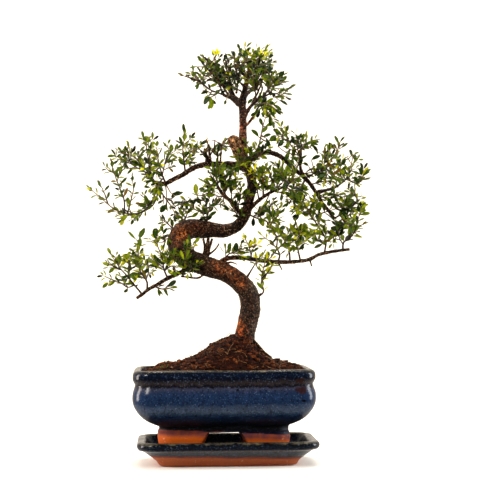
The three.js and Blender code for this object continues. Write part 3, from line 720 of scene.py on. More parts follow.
def peatMaterial():
    material, tree, shader, place = newMaterial("dampPeat")
    grain = noiseNode(tree, place, 620.0, 6.0, 0.78)
    patches = noiseNode(tree, place, 120.0, 4.0)
    shade = rampNode(tree, grain, [(0.36, 0.08), (0.5, 0.7), (0.62, 2.2), (0.72, 3.4)])
    colour = mixNode(tree, 1.0, tintNode(tree), shade, "MULTIPLY")
    colour = mixNode(tree, rangeNode(tree, patches, 0.4, 0.7, 0, 0.4), colour, soilShape["dampAndShade"])
    fine = bumpNode(tree, grain, 0.0012, 0.9)
    relief = bumpNode(tree, cellNode(tree, place, 480.0), 0.0008, 0.5, fine)
    setSurface(tree, shader, colour, rangeNode(tree, grain, 0, 1, 0.65, 0.95), relief, 0.12)
    return material


# Corners of a twenty-sided lump
def lumpCorners():
    golden = (1 + 5 ** 0.5) / 2
    corners = []
    for a in (-1, 1):
        for b in (-golden, golden):
            corners += [(0, a, b), (a, b, 0), (b, 0, a)]
    return np.array(corners, dtype=float)


def lumpFaces(corners):
    faces = []
    for i, j, k in combinations(range(12), 3):
        sides = [np.linalg.norm(corners[p] - corners[q]) for p, q in ((i, j), (j, k), (i, k))]
        if max(sides) < 2.01:
            normal = np.cross(corners[j] - corners[i], corners[k] - corners[i])
            outward = np.dot(normal, corners[i]) > 0
            faces.append((i, j, k) if outward else (i, k, j))
    return faces


# The same lump at its place, pushed out of round
def lumpPoints(corners, centre, size, rand):
    stretch = np.array([rand.uniform(0.6, 1.5), rand.uniform(0.6, 1.5), rand.uniform(0.5, 0.9)])
    jitter = np.array([[rand.uniform(-0.22, 0.22) for _ in range(3)] for _ in range(12)])
    return centre + (corners / 1.9 * stretch + jitter) * size


def makeSoil():
    shape = soilShape
    rand = random.Random(shape["seed"])
    bag = newBag()
    browns = shape["browns"]
    wall = [(66.2, 48, 12), (77.6, 52.4, 15), (87.6, 62.4, 17), (91.4, 76, 18), (89.9, 90, 17)]
    rings = [plateRing(half, half - 25, corner, z, shape["shift"]) for half, z, corner in wall]
    edge = plateRing(89.9, 64.9, 17, shape["edge"], shape["shift"])
    middle = np.array([shape["shift"] + 14, 0.0])
    shares = [1.0, 0.99, 0.975] + list(np.linspace(0.955, 0.02, 52))
    for share in shares:
        flat = middle + (edge[:, :2] - middle) * share
        heights = [soilHeight(x, y) for x, y in flat]
        if share == 1.0:
            heights = [h - 1.0 for h in heights]
        rings.append(np.column_stack([flat, heights]))
    top = (middle[0], middle[1], soilHeight(*middle))
    tints = []
    for ring in rings:
        for x, y, z in ring:
            mix = noise.noise(Vector((x, y, z)) * 0.35) * 0.5 + 0.5
            tints.append(blend(browns[0], browns[2], min(1, max(0, mix))))
    tints += [browns[0], browns[1]]
    addShell(bag, rings, (shape["shift"], 0, 45.6), top, np.array(tints))

    # Loose crumbs on top
    corners = lumpCorners()
    faces = lumpFaces(corners)
    for _ in range(shape["crumbs"]):
        x = rand.uniform(-91, 83)
        y = rand.uniform(-62, 62)
        size = rand.choice(shape["crumbSizes"]) * rand.uniform(0.8, 1.35)
        centre = np.array([x, y, soilHeight(x, y) + size * 0.1])
        tint = blend(browns[rand.randrange(4)], browns[rand.randrange(4)], rand.random() ** 2)
        addPatch(bag, lumpPoints(corners, centre, size, rand), faces, tint)

    # Coir fibres lying and standing on the mound
    for i in range(shape["fibres"]):
        x = rand.uniform(-88, 80)
        y = rand.uniform(-60, 50)
        turn = rand.uniform(0, 2 * math.pi)
        length = rand.uniform(5, 17)
        lift = rand.uniform(0.2, 1.2) if i % 7 else rand.uniform(1.5, 4.0)
        bend = rand.uniform(-0.9, 0.9)
        line = []
        for step in range(6):
            share = step / 5
            angle = turn + bend * share * 2
            px = min(max(x + math.cos(angle) * length * share, -91), 83)
            py = min(max(y + math.sin(angle) * length * share, -63), 63)
            line.append((px, py, soilHeight(px, py) + math.sin(share * math.pi) * lift + 0.1))
        tint = blend(*shape["fibre"], rand.random() ** 2.5)
        addTube(bag, smoothPath(line, 1.8), rand.uniform(0.16, 0.34), 4, tint)

    # Moss tuft by the left rim and a pale lump beside it
    for i in range(46):
        x = -71 + rand.gauss(0, 2.4)
        y = -42 + rand.gauss(0, 3)
        z = soilHeight(x, y)
        tip = (x + rand.uniform(-1.2, 1.2), y + rand.uniform(-1.2, 1.2), z + rand.uniform(1.6, 3.4))
        tint = blend(*shape["moss"], rand.random())
        blade = np.array([(x, y, z - 0.5), ((x + tip[0]) / 2, y, z + 1.2), tip])
        addTube(bag, blade, (0.45, 0.4, 0.12), 4, tint)
    lump = np.array([-61.0, -46.0, soilHeight(-61, -46) + 1.2])
    addPatch(bag, lumpPoints(corners, lump, 2.4, rand), faces, rgb(150, 112, 84))
    makePiece("crumbly_soil", bag, [peatMaterial()], "soil")


makeSoil()
print("soil made")

# Wood, from the root upwards
trunkLine = [
    (19, 3, 119), (21, 2, 139), (25, 0, 159), (28, 0, 173), (27, 0, 183), (23, -2, 193), (16, -4, 201),
    (6, -6, 209), (-6, -8, 215), (-21, -9, 220), (-34, -8, 225), (-46, -5, 231), (-51, -1, 240),
    (-53, 4, 249), (-47, 8, 258), (-39, 10, 262), (-27, 10, 262), (-13, 9, 261), (-1, 7, 260),
    (11, 5, 263), (18, 3, 269), (23, 1, 278), (26, 0, 290), (29, 0, 301), (31, 0, 312), (29, 0, 322),
    (25, 0, 332), (22, 1, 342), (21, 1, 355), (21, 0, 368), (21, 0, 382), (21, 0, 393), (20, 0, 403),
]

# Line of each limb from where it leaves the wood, and its radii at both ends
limbs = {
    "leaderTop": ([(20, 0, 402), (22, -1, 412), (25, -2, 424), (28, -2, 436), (30, -3, 447)], (3.4, 2.2)),
    "leftBranch": (
        [(23, 0, 331), (8, -2, 334), (-4, -5, 334), (-18, -7, 334), (-29, -10, 332), (-38, -12, 328),
         (-47, -15, 322), (-57, -17, 317), (-67, -20, 312), (-76, -22, 311)],
        (3.6, 2.4),
    ),
    "crownLeftLimb": ([(19, 0, 402), (15, 5, 404), (8, 11, 410), (0, 16, 414)], (2.6, 1.6)),
    "crownInnerLimb": ([(19, 0, 403), (14, 9, 409), (8, 19, 418), (4, 28, 428)], (2.8, 1.6)),
    "crownRightLimb": (
        [(22, 0, 388), (25, -5, 392), (30, -10, 399), (36, -15, 404), (43, -20, 408)],
        (2.2, 1.4),
    ),
    "crownBackLimb": ([(22, 0, 410), (29, 8, 417), (36, 16, 424), (39, 24, 434)], (2.2, 1.4)),
    "crownLowTwig": ([(21, 0, 376), (27, -7, 380), (33, -13, 388), (36, -20, 394)], (1.7, 1.2)),
    "middleLeft": (
        [(21, 0, 278), (12, -8, 284), (5, -17, 293), (-3, -26, 299), (-9, -34, 308)],
        (2.6, 1.6),
    ),
    "rightUpper": (
        [(24, 0, 336), (36, 4, 344), (50, 8, 348), (63, 11, 344), (72, 15, 337), (82, 19, 328),
         (92, 23, 320), (100, 27, 311), (107, 31, 301), (113, 34, 291), (121, 38, 282), (127, 42, 274)],
        (3, 1.8),
    ),
    "rightUpperOuter": ([(108, 30, 304), (116, 35, 306), (123, 39, 308), (132, 44, 312)], (1.9, 1.5)),
    "rightUpperStem": ([(90, 22, 322), (87, 19, 331), (87, 15, 342), (87, 12, 351)], (1.8, 1.5)),
    "rightMid": ([(26, 0, 283), (34, -6, 290), (46, -12, 299), (54, -18, 303), (60, -24, 305)], (2.4, 1.5)),
    "rightLow": (
        [(-10, -8, 219), (-1, -6, 227), (6, -4, 229), (19, -2, 229), (32, 0, 227), (47, 2, 225),
         (60, 4, 224), (73, 6, 224), (86, 8, 225), (96, 10, 227), (106, 12, 232), (114, 14, 234),
         (125, 16, 236), (133, 18, 237), (142, 20, 238)],
        (2.8, 1.7),
    ),
    "leftLow": (
        [(-38, 4, 223), (-47, 0, 215), (-55, -4, 211), (-66, -8, 206), (-76, -12, 200), (-87, -16, 194),
         (-93, -20, 189), (-99, -24, 185)],
        (2.8, 1.7),
    ),
    "deadStub": ([(-20, -4, 224), (-21, 0, 234), (-22, 4, 243)], (1.7, 1.3)),
}

trunkShape = {
    "base": rgb(52, 32, 22),
    "buried": (17, 4, 104),
    "radii": [
        13.5, 12.2, 11, 10.9, 11.2, 11.2, 10.8, 10.3, 10.4, 10.7, 11.2, 11.2, 11.3, 12, 12.2, 11.4,
        10.4, 8.8, 7.6, 6.4, 5.8, 5.6, 5.6, 5.6, 5.3, 4.9, 4.6, 4.4, 4.3, 4.3, 4.4,
    ],
    "sides": 60,
    "step": 1.25,
    "lumps": 0.9,
    "wrinkles": 0.5,
    "scales": 0.6,
}

# Coloured patches on the bark: place in mm, reach, colour and strength. Most are bark colour; some are
# painted highlight and some painted shade, as marked
barkPatchesAndPaintedLight = [
    # Orange on the loop's left side, here and at (-53, -4, 245): reddish bark with a painted highlight
    ((-49, -6, 257), 12, rgb(168, 92, 46), 0.9),
    ((-34, -2, 266), 12, rgb(92, 44, 26), 0.5),
    ((-53, -4, 245), 8, rgb(122, 62, 34), 0.5),
    ((-8, 0, 276), 18, rgb(72, 36, 22), 0.4),
    # Near black at the arc's right end, where it turns away behind: painted shade
    ((18, -6, 262), 15, rgb(14, 11, 10), 0.85),
    # Dark under the loop's lower-left bend: painted shade
    ((-44, -10, 232), 14, rgb(26, 20, 18), 0.7),
    ((-22, -18, 224), 14, rgb(72, 54, 40), 0.5),
    # Orange along the front and top of the lower pass, these three: bark colour with painted highlight
    ((-6, -18, 220), 8, rgb(176, 78, 34), 0.6),
    ((4, -14, 212), 10, rgb(108, 48, 26), 0.6),
    ((16, -12, 200), 8, rgb(186, 96, 44), 0.6),
    ((9, -6, 204), 14, rgb(78, 40, 26), 0.6),
    ((33, -6, 196), 11, rgb(118, 108, 92), 0.5),
    ((13, -6, 154), 8, rgb(188, 94, 22), 0.9),
    ((15, -7, 146), 7, rgb(150, 64, 22), 0.8),
    ((27, -8, 168), 12, rgb(34, 26, 24), 0.6),
    ((33, -6, 150), 8, rgb(122, 100, 84), 0.5),
    ((27, -9, 138), 9, rgb(74, 34, 22), 0.6),
    ((20, -5, 372), 26, rgb(128, 72, 54), 0.8),
    ((21, -5, 398), 18, rgb(34, 15, 12), 0.85),
    ((29, -4, 436), 14, rgb(140, 76, 38), 0.7),
    ((27, -4, 320), 26, rgb(48, 36, 32), 0.5),
    ((12, -8, 354), 13, rgb(138, 98, 66), 0.95),
    # Near black under the loop's lower-left bend, these three: painted shade
    ((-48, -6, 226), 13, rgb(14, 11, 10), 0.8),
    ((-38, -12, 216), 12, rgb(12, 10, 9), 0.85),
    ((-30, -14, 226), 12, rgb(16, 13, 12), 0.8),
    # Orange-brown along the front and top of the lower pass, these two: bark colour with painted highlight
    ((-6, -16, 224), 16, rgb(92, 54, 30), 0.6),
    ((6, -14, 218), 16, rgb(104, 56, 28), 0.6),
    ((26, -8, 186), 14, rgb(52, 30, 20), 0.6),
]


def barkTint(points):
    base = np.array(trunkShape["base"])
    tints = np.empty((len(points), 3))
    places = np.array([place for place, *_ in barkPatchesAndPaintedLight], dtype=float)
    reach = np.array([size for _, size, *_ in barkPatchesAndPaintedLight], dtype=float)
    for i, point in enumerate(points):
        at = Vector(point)
        shade = 0.85 + 0.7 * noise.noise(at * 0.12) + 0.9 * noise.noise(at * 0.45)
        tint = base * max(0.25, shade)
        wander = 1 + 0.5 * noise.noise(at * 0.22)
        broken = 0.55 + 0.9 * noise.noise(at * 0.38) + 0.7 * noise.noise(at * 0.85)
        pull = np.exp(-((np.linalg.norm(places - point, axis=1) / (reach * wander)) ** 2) * 1.4)
        for k in np.nonzero(pull > 0.03)[0]:
            _, _, colour, strength = barkPatchesAndPaintedLight[k]
            share = min(1.0, max(0.0, pull[k] * strength * (0.35 + broken)))
            tint = tint + (np.array(colour) - tint) * share
        tints[i] = tint
    return tints


# Trunk skin: lumps, wrinkles round the wood and small scales
def barkHeight(point, along):
    shape = trunkShape
    at = Vector(point)
    lumps = noise.noise(at * 0.07) + 0.5 * noise.noise(at * 0.16)
    wrinkle = math.sin(along * 1.55 + 2.4 * noise.noise(at * 0.12)) ** 3
    wrinkle *= max(0.0, 1 - along / 70) + 0.35
    cells = noise.voronoi(at * 0.42)[0]
    scales = min(1.0, (cells[1] - cells[0]) * 2.2) - 0.5
    fine = noise.noise(at * 0.9) * 0.3
    return lumps * shape["lumps"] + wrinkle * shape["wrinkles"] + (scales + fine) * shape["scales"]


def addTrunk(bag):
    shape = trunkShape
    path = smoothPath([shape["buried"]] + trunkLine, shape["step"])
    travelled = np.concatenate([[0], np.cumsum(np.linalg.norm(np.diff(path, axis=0), axis=1))])
    share = (travelled - 15) / (travelled[-1] - 15)
    radius = np.interp(share, np.linspace(0, 1, len(shape["radii"])), shape["radii"])
    sides = shape["sides"]
    relief = lambda place, r: barkHeight(place, travelled[r]) * min(1.0, radius[r] / 9)
    points = roughRings(path, radius, sides, relief, (4, 1.5))
    # Painted shade: the bark colour is made nearly black along the wood's underside, where light falls less
    heading, side, up = pathFrames(path)
    angle = np.arange(sides) / sides * 2 * math.pi
    lift = side[:, 2:] * np.cos(angle) + up[:, 2:] * np.sin(angle)
    dampAndShade = smoothstep(-0.75, 0.15, np.append(lift.ravel(), [0, 0]))
    addPatch(bag, points, tubeFaces(len(path), sides), barkTint(points) * (0.3 + 0.7 * dampAndShade)[:, None])


# Limb or root: rough tube that widens where it leaves the wood
def addLimb(bag, line, radii, sides=16, step=1.6, collar=0.5):
    path = smoothPath(line, step)
    share = np.linspace(0, 1, len(path))
    travelled = share * len(path) * step
    radius = radii[0] + (radii[1] - radii[0]) * share
    radius = radius * (1 + collar * np.exp(-((travelled / (radii[0] * 3)) ** 2)))
    knots = 1 + 0.16 * np.maximum(0, np.sin(travelled * 0.62 + radii[0] * 9)) ** 6

    def relief(place, r):
        coarse, fine = noise.noise(Vector(place) * 0.35), noise.noise(Vector(place) * 0.9)
        return radius[r] * (coarse * 0.16 + fine * 0.08)

    points = roughRings(path, radius * knots, sides, relief, (radius[0] * 0.3, radius[-1] * 0.3))
    addPatch(bag, points, tubeFaces(len(path), sides), barkTint(points) * 0.8)


knobShape = {
    "line": [(20, -2, 334), (16, -6, 345), (13, -8, 354), (10, -8, 361), (9, -8, 366)],
    "places": [0, 0.3, 0.62, 0.8, 0.9, 0.96, 1],
    "radii": [4.6, 5.5, 6.7, 7.0, 6.3, 4.7, 2.2],
    "sides": 44,
    "pale": rgb(146, 106, 70),
}


# Old pruning stub: swollen, domed and rough
def addKnob(bag):
    shape = knobShape
    path = smoothPath(shape["line"], 0.7)
    radius = np.interp(np.linspace(0, 1, len(path)), shape["places"], shape["radii"])

    def relief(place, r):
        cells = noise.voronoi(Vector(place) * 0.5)[0]
        scales = (min(1, (cells[1] - cells[0]) * 2.0) - 0.5) * 0.9
        return scales + noise.noise(Vector(place) * 0.25) * 0.9

    points = roughRings(path, radius, shape["sides"], relief, (0, 0.6))
    tints = barkTint(points)
    for i, place in enumerate(points):
        share = min(1, max(0.1, 0.55 + 0.6 * noise.noise(Vector(place) * 0.45)))
        tints[i] += (np.array(shape["pale"]) - tints[i]) * share
    addPatch(bag, points, tubeFaces(len(path), shape["sides"]), tints)


barkLook = {
    "coarse": 300.0,
    "fine": 560.0,
    "cells": 420.0,
    "fleck": rgb(228, 178, 128),
    "crack": rgb(18, 12, 9),
    "shine": 0.14,
}


def barkMaterial():
    look = barkLook
    material, tree, shader, place = newMaterial("scalyBark")
    coarse = noiseNode(tree, place, look["coarse"], 6.0, 0.72)
    fine = noiseNode(tree, place, look["fine"], 4.0, 0.75)
    cells = cellNode(tree, place, look["cells"])
    shade = rampNode(tree, coarse, [(0.36, 0.03), (0.46, 0.2), (0.55, 1.1), (0.66, 5.2)])
    colour = mixNode(tree, 1.0, tintNode(tree), shade, "MULTIPLY")
    # Pale flecks: bark colour, partly painted glints of wet bark, thicker in some patches
    flecks = rampNode(tree, fine, [(0.575, 0.0), (0.63, 1.0)])
    fleckAndGlintSpread = rangeNode(tree, noiseNode(tree, place, 48.0, 3.0), 0.4, 0.62, 0.22, 0.78)
    colour = mixNode(tree, mathNode(tree, "MULTIPLY", flecks, fleckAndGlintSpread), colour, look["fleck"])
    cracks = rampNode(tree, coarse, [(0.3, 1.0), (0.4, 0.0)])
    colour = mixNode(tree, mathNode(tree, "MULTIPLY", cracks, 0.7), colour, look["crack"])
    scaly = bumpNode(tree, cells, 0.0018, 0.7, bumpNode(tree, coarse, 0.0035, 0.9))
    relief = bumpNode(tree, fine, 0.0005, 0.6, scaly)
    setSurface(tree, shader, colour, rangeNode(tree, fine, 0.3, 0.7, 0.36, 0.7), relief, look["shine"])
    return material


# Thin roots that show on the mound; each ends in the soil
rootLines = [
    ([(26, 0, 138), (35, -4, 131), (41, -6, 124), (47, -8, 119), (53, -9, 110), (56, -9, 104)], (2.2, 1.2)),
    ([(30, -2, 128), (34, -6, 121), (37, -8, 113)], (1.2, 0.7)),
    ([(36, -5, 129), (38, -6, 120), (39, -7, 110)], (0.8, 0.5)),
    ([(20, -6, 137), (12, -14, 133), (3, -22, 127), (-6, -28, 119)], (2.2, 1.0)),
    ([(17, -8, 134), (24, -20, 128), (27, -30, 121)], (2.0, 0.9)),
    ([(12, -4, 136), (0, -8, 137), (-12, -12, 131), (-24, -18, 122)], (1.9, 0.9)),
    ([(30, 2, 135), (38, 8, 127), (46, 14, 118)], (2.0, 1.0)),
    ([(18, 8, 137), (10, 20, 132), (2, 32, 122)], (2.2, 1.0)),
    ([(26, 9, 137), (32, 22, 128), (36, 34, 116)], (2.0, 1.0)),
]

smallTwigs = [
    ([(-22, -8, 226), (-21, -7, 238), (-19, -1, 251)], (2.3, 1.9)),
    ([(-23, -8, 230), (-12, -8, 238), (-7, -7, 245)], (1.3, 0.8)),
    ([(-30, -8, 232), (-38, -10, 240)], (0.9, 0.6)),
    ([(31, -4, 186), (37, -5, 187), (40, -6, 189)], (1.4, 0.8)),
    ([(-16, -8, 334), (-17, -9, 345), (-18, -12, 356)], (1.8, 1.1)),
    ([(-18, -8, 334), (-20, -5, 344), (-23, -4, 352)], (1.6, 0.9)),
    ([(-17, -9, 343), (-12, -12, 352), (-11, -14, 361)], (1.0, 0.5)),
    ([(-5, -5, 335), (-4, -6, 346), (-3, -8, 356), (4, -10, 363)], (1.1, 0.6)),
    ([(-4, -6, 355), (-10, -8, 360), (-15, -8, 361)], (0.7, 0.4)),
    ([(-20, -15, 214), (-24, -17, 211), (-31, -18, 206.7), (-41, -18, 207.5), (-50, -19, 208.5)], (1.3, 1.0)),
    ([(-48, -19, 209), (-46, -18, 214)], (1.1, 0.9)),
    ([(-34, -10, 228), (-36, -14, 239), (-33, -17, 246)], (0.9, 0.5)),
    ([(10.4, -4, 411.7), (4.7, -10, 427.8), (-2.1, -16, 442.8)], (1.5, 0.8)),
    ([(13.9, 0, 414.3), (15.9, -8, 428), (18.1, -14, 442.9)], (1.2, 0.55)),
    ([(8.1, -4, 408.3), (-2.2, -14, 420.8), (-12.3, -20, 432.4)], (1.2, 0.55)),
    ([(25, -4, 419.4), (29.2, -12, 433), (31.4, -16, 447)], (1.2, 0.55)),
    ([(31.4, -8, 402.1), (37.9, -14, 414.8), (42.2, -18, 426.6), (44.5, -20, 438.6)], (1.2, 0.55)),
    ([(42.4, -12, 408.3), (49, -16, 417.9), (52.2, -20, 429.6)], (1.2, 0.55)),
    ([(36.9, -10, 405.2), (42.2, -18, 417.7), (38.7, -22, 428.4)], (1.2, 0.55)),
    ([(21.7, -4, 422.8), (10.2, -12, 432), (4.6, -16, 442.8)], (1.2, 0.55)),
    ([(26.2, -4, 428.3), (21.5, -12, 440.9), (19.2, -16, 449.3)], (1.2, 0.55)),
    ([(2.4, -10, 418.9), (-6.7, -16, 427.3), (-17.8, -20, 438)], (1.2, 0.55)),
    ([(-27.8, -12, 426.8), (-37.9, -18, 429.5), (-44.5, -20, 431.6)], (1.2, 0.55)),
    ([(-18.7, -14, 449.9), (-24.3, -18, 454.2)], (1.2, 0.55)),
    ([(0.6, -12, 222.8), (6.1, -14, 223.9), (12.8, -14, 221.6)], (1.2, 0.55)),
    ([(24.6, 4, 207.6), (30.1, 0, 216.5), (34.6, -2, 224.3)], (1.2, 0.55)),
    ([(-24.3, -8, 231.5), (-23.1, -8, 241.5), (-24.7, -4, 250.6)], (1.6, 1.2)),
    ([(-20.4, -8, 231.4), (-17.6, -8, 241.5), (-14.6, -4, 250.5)], (1.8, 1.3)),
    ([(96, 10, 226), (98, 9, 219)], (1.1, 0.7)),
    ([(60, 4, 223), (64, 3, 215)], (1.0, 0.6)),
]


def makeWood():
    bag = newBag()
    addTrunk(bag)
    addKnob(bag)
    for line, radii in limbs.values():
        addLimb(bag, line, radii)
    for line, radii in rootLines:
        addLimb(bag, line, radii, 12, 1.5, 0.6)
    for line, radii in smallTwigs:
        addLimb(bag, line, radii, 8, 1.6, 0.3)
    makePiece("bark_trunk", bag, [barkMaterial()], "trunk")


makeWood()
print("trunk, limbs and roots made")

leafShape = {
    "length": 11.6,
    "width": 0.375,  # share of the length
    "thick": 0.28,
    "rows": [(0.13, 0.3), (0.33, 0.76), (0.55, 1.0), (0.76, 0.88), (0.91, 0.52)],
    "greens": [rgb(15, 30, 4), rgb(44, 68, 4), rgb(92, 112, 8), rgb(142, 152, 16), rgb(230, 222, 26)],
    "young": rgb(112, 82, 28),
    "glow": (0.9, 1.0, 0.3),
    "glowShare": 0.22,
    "veins": 62.0,
    "shine": 0.2,
}

twigShape = {
    "base": 1.2,
    "tip": 0.48,
    "old": rgb(40, 20, 14),
    "new": rgb(112, 92, 40),
}


# Faces of one blade: five rows of five points above, three inner points of each row below
def bladeFaces():
    top = lambda r, c: 2 + r * 5 + c
    low = lambda r, c: top(r, c) if c in (0, 4) else 27 + r * 3 + c - 1
    faces = []
    for c in range(4):
        faces.append((0, top(0, c + 1), top(0, c)))
        faces.append((0, low(0, c), low(0, c + 1)))
        faces.append((1, top(4, c), top(4, c + 1)))
        faces.append((1, low(4, c + 1), low(4, c)))
        for r in range(4):
            faces.append((top(r, c), top(r, c + 1), top(r + 1, c + 1), top(r + 1, c)))
            faces.append((low(r, c), low(r + 1, c), low(r + 1, c + 1), low(r, c + 1)))
    return faces


leafFaces = bladeFaces()


# One closed blade: folded along its midrib, cupped and curled a little
def addLeaf(bag, base, along, normal, length, width, tint, rand, fold=None):
    along = unit(along)
    across = unit(np.cross(along, normal))
    normal = np.cross(across, along)
    fold = rand.uniform(0.08, 0.5) if fold is None else fold
    curl = rand.uniform(-0.06, 0.22)
    bend = rand.uniform(-0.08, 0.08)
    thick = leafShape["thick"]
    lean = lambda t: along * length * t - normal * curl * length * t * t + across * bend * length * t * t
    points = [base, base + lean(1.0)]
    uv = [(0.5, 0), (0.5, 1)]
    for layer in (0, 1):
        for t, wide in leafShape["rows"]:
            half = wide * width / 2
            for s in ((-1, -0.5, 0, 0.5, 1) if layer == 0 else (-0.5, 0, 0.5)):
                rise = fold * abs(s) ** 1.3 * half - (thick * wide if layer else 0)
                points.append(base + lean(t) + across * s * half + normal * rise)
                uv.append((0.5 + s / 2, t))
    tint = np.array(tint)
    tints = np.empty((len(points), 3))
    for i, (u, v) in enumerate(uv):
        rib = math.exp(-((u - 0.5) / 0.16) ** 2)
        back = 1.12 if i >= 27 else 1.0
        tints[i] = tint * (0.9 + 0.45 * rib * (1 - 0.5 * v)) * back
    addPatch(bag, points, leafFaces, np.minimum(tints, 1), 1, uv)


def pickGreen(shade):
    greens = leafShape["greens"]
    place = min(max(shade, 0), 1) * (len(greens) - 1.01)
    low = int(place)
    return blend(greens[low], greens[low + 1], place - low)


# Some of the newest leaves are still rusty brown
def leafTint(rand, tone, rusty):
    if rand.random() < rusty:
        return blend(leafShape["young"], pickGreen(tone), rand.uniform(0, 0.5))
    return pickGreen(tone + rand.gauss(0, 0.2))


# Upper side of a leaf faces the sky and a little outwards
def leafNormal(rand, along, outward):
    wish = np.array([rand.gauss(0, 0.6), rand.gauss(-0.65, 0.7), 0.85]) + outward * 0.25
    return wish - along * np.dot(wish, along)


# Two leaves on either side of a stem; usual is how far they open, in radians
def addPair(bag, place, heading, side, rand, size, tone, rusty, usual=None):
    for sign in (1, -1):
        if rand.random() < 0.1:
            continue
        spread = rand.uniform(0.55, 1.15) if usual is None else usual * rand.uniform(0.8, 1.2)
        along = unit(heading * math.cos(spread) + side * sign * math.sin(spread))
        length = size * rand.uniform(0.72, 1.18)
        width = length * leafShape["width"] * rand.uniform(0.82, 1.15)
        base = place + along * 0.4
        facing = leafNormal(rand, along, side * sign)
        addLeaf(bag, base, along, facing, length, width, leafTint(rand, tone, rusty), rand)


# Thin side twig, greener towards its tip
def addTwig(bag, path, thick, thin, start):
    share = np.linspace(start, 0.75, len(path))
    tint = np.array([blend(twigShape["old"], twigShape["new"], s) for s in share])
    addTube(bag, path, np.linspace(thick, thin, len(path)), 5, tint)


# Leaves in crossed pairs along a stem, smaller towards its tip, with short side twigs
def dressStem(bag, path, rand, look, depth=0):
    heading, side, up = pathFrames(path)
    step = np.linalg.norm(path[1] - path[0])
    length = step * (len(path) - 1)
    spot = length * look["bare"] if depth == 0 else 3.0
    turn = rand.uniform(0, math.pi)
    while spot < length - 1:
        index = min(len(path) - 1, int(round(spot / step)))
        share = spot / max(length, 1)
        turn += math.pi / 2 + rand.gauss(0, 0.25)
        outward = side[index] * math.cos(turn) + up[index] * math.sin(turn)
        size = leafShape["length"] * look["size"] * (1.05 - 0.35 * share)
        tone = look["tone"] + 0.18 * (share - 0.5) + rand.gauss(0, 0.06)
        if depth == 0 and rand.random() < look["twigs"] and share < 0.85:
            grow = rand.uniform(7, 14) * look["size"]
            lean = unit(heading[index] * 0.8 + outward * rand.choice((1, -1)) * 0.9 + np.array([0, 0, 0.25]))
            tip = path[index] + lean * grow
            elbow = path[index] + lean * grow * 0.5 + np.array([0, 0, rand.uniform(-0.8, 0.8)])
            small = smoothPath([path[index], elbow, tip], 1.6)
            addTwig(bag, small, 0.68, 0.4, 0.2)
            dressStem(bag, small, rand, look, 1)
        addPair(bag, path[index], heading[index], outward, rand, size, tone, look["rusty"])
        spot += look["step"] * rand.uniform(0.8, 1.2)
    outward = side[-1] * math.cos(turn) + up[-1] * math.sin(turn)
    size = leafShape["length"] * look["size"] * 0.75
    addPair(bag, path[-1], heading[-1], outward, rand, size, look["tone"] + 0.08, look["rusty"] * 2, 0.5)


def leafMaterial():
    material, tree, shader, place = newMaterial("waxyLeaf")
    mottle = noiseNode(tree, place, 260.0, 3.0)
    shade = rampNode(tree, mottle, [(0.3, 0.72), (0.7, 1.3)])
    colour = mixNode(tree, 1.0, tintNode(tree), shade, "MULTIPLY")
    # Side veins slant from the midrib towards the tip
    blade = tree.nodes.new("ShaderNodeUVMap")
    blade.uv_map = "blade"
    split = splitNode(tree, blade.outputs["UV"])
    offside = mathNode(tree, "ABSOLUTE", mathNode(tree, "SUBTRACT", split["X"], 0.5))
    slant = mathNode(tree, "SUBTRACT", split["Y"], mathNode(tree, "MULTIPLY", offside, 0.5))
    veins = mathNode(tree, "SINE", mathNode(tree, "MULTIPLY", slant, leafShape["veins"]))
    relief = bumpNode(tree, veins, 0.00012, 0.5, bumpNode(tree, mottle, 0.0004, 0.4))
    roughness = rangeNode(tree, mottle, 0.3, 0.7, 0.28, 0.5)
    setSurface(tree, shader, colour, roughness, relief, leafShape["shine"])
    # Light that comes through the blade
    glow = tree.nodes.new("ShaderNodeBsdfTranslucent")
    tree.links.new(mixNode(tree, 1.0, colour, leafShape["glow"], "MULTIPLY"), glow.inputs["Color"])
    both = tree.nodes.new("ShaderNodeMixShader")
    both.inputs[0].default_value = leafShape["glowShare"]
    tree.links.new(shader.outputs[0], both.inputs[1])
    tree.links.new(glow.outputs[0], both.inputs[2])
    tree.links.new(both.outputs[0], tree.nodes["Material Output"].inputs["Surface"])
    return material


def twigMaterial():
    material, tree, shader, place = newMaterial("thinTwig")
    grain = noiseNode(tree, place, 700.0, 4.0, 0.65)
    shade = rampNode(tree, grain, [(0.3, 0.5), (0.7, 1.5)])
    colour = mixNode(tree, 1.0, tintNode(tree), shade, "MULTIPLY")
    roughness = rangeNode(tree, grain, 0.3, 0.7, 0.45, 0.75)
    setSurface(tree, shader, colour, roughness, bumpNode(tree, grain, 0.0005, 0.6))
    return material


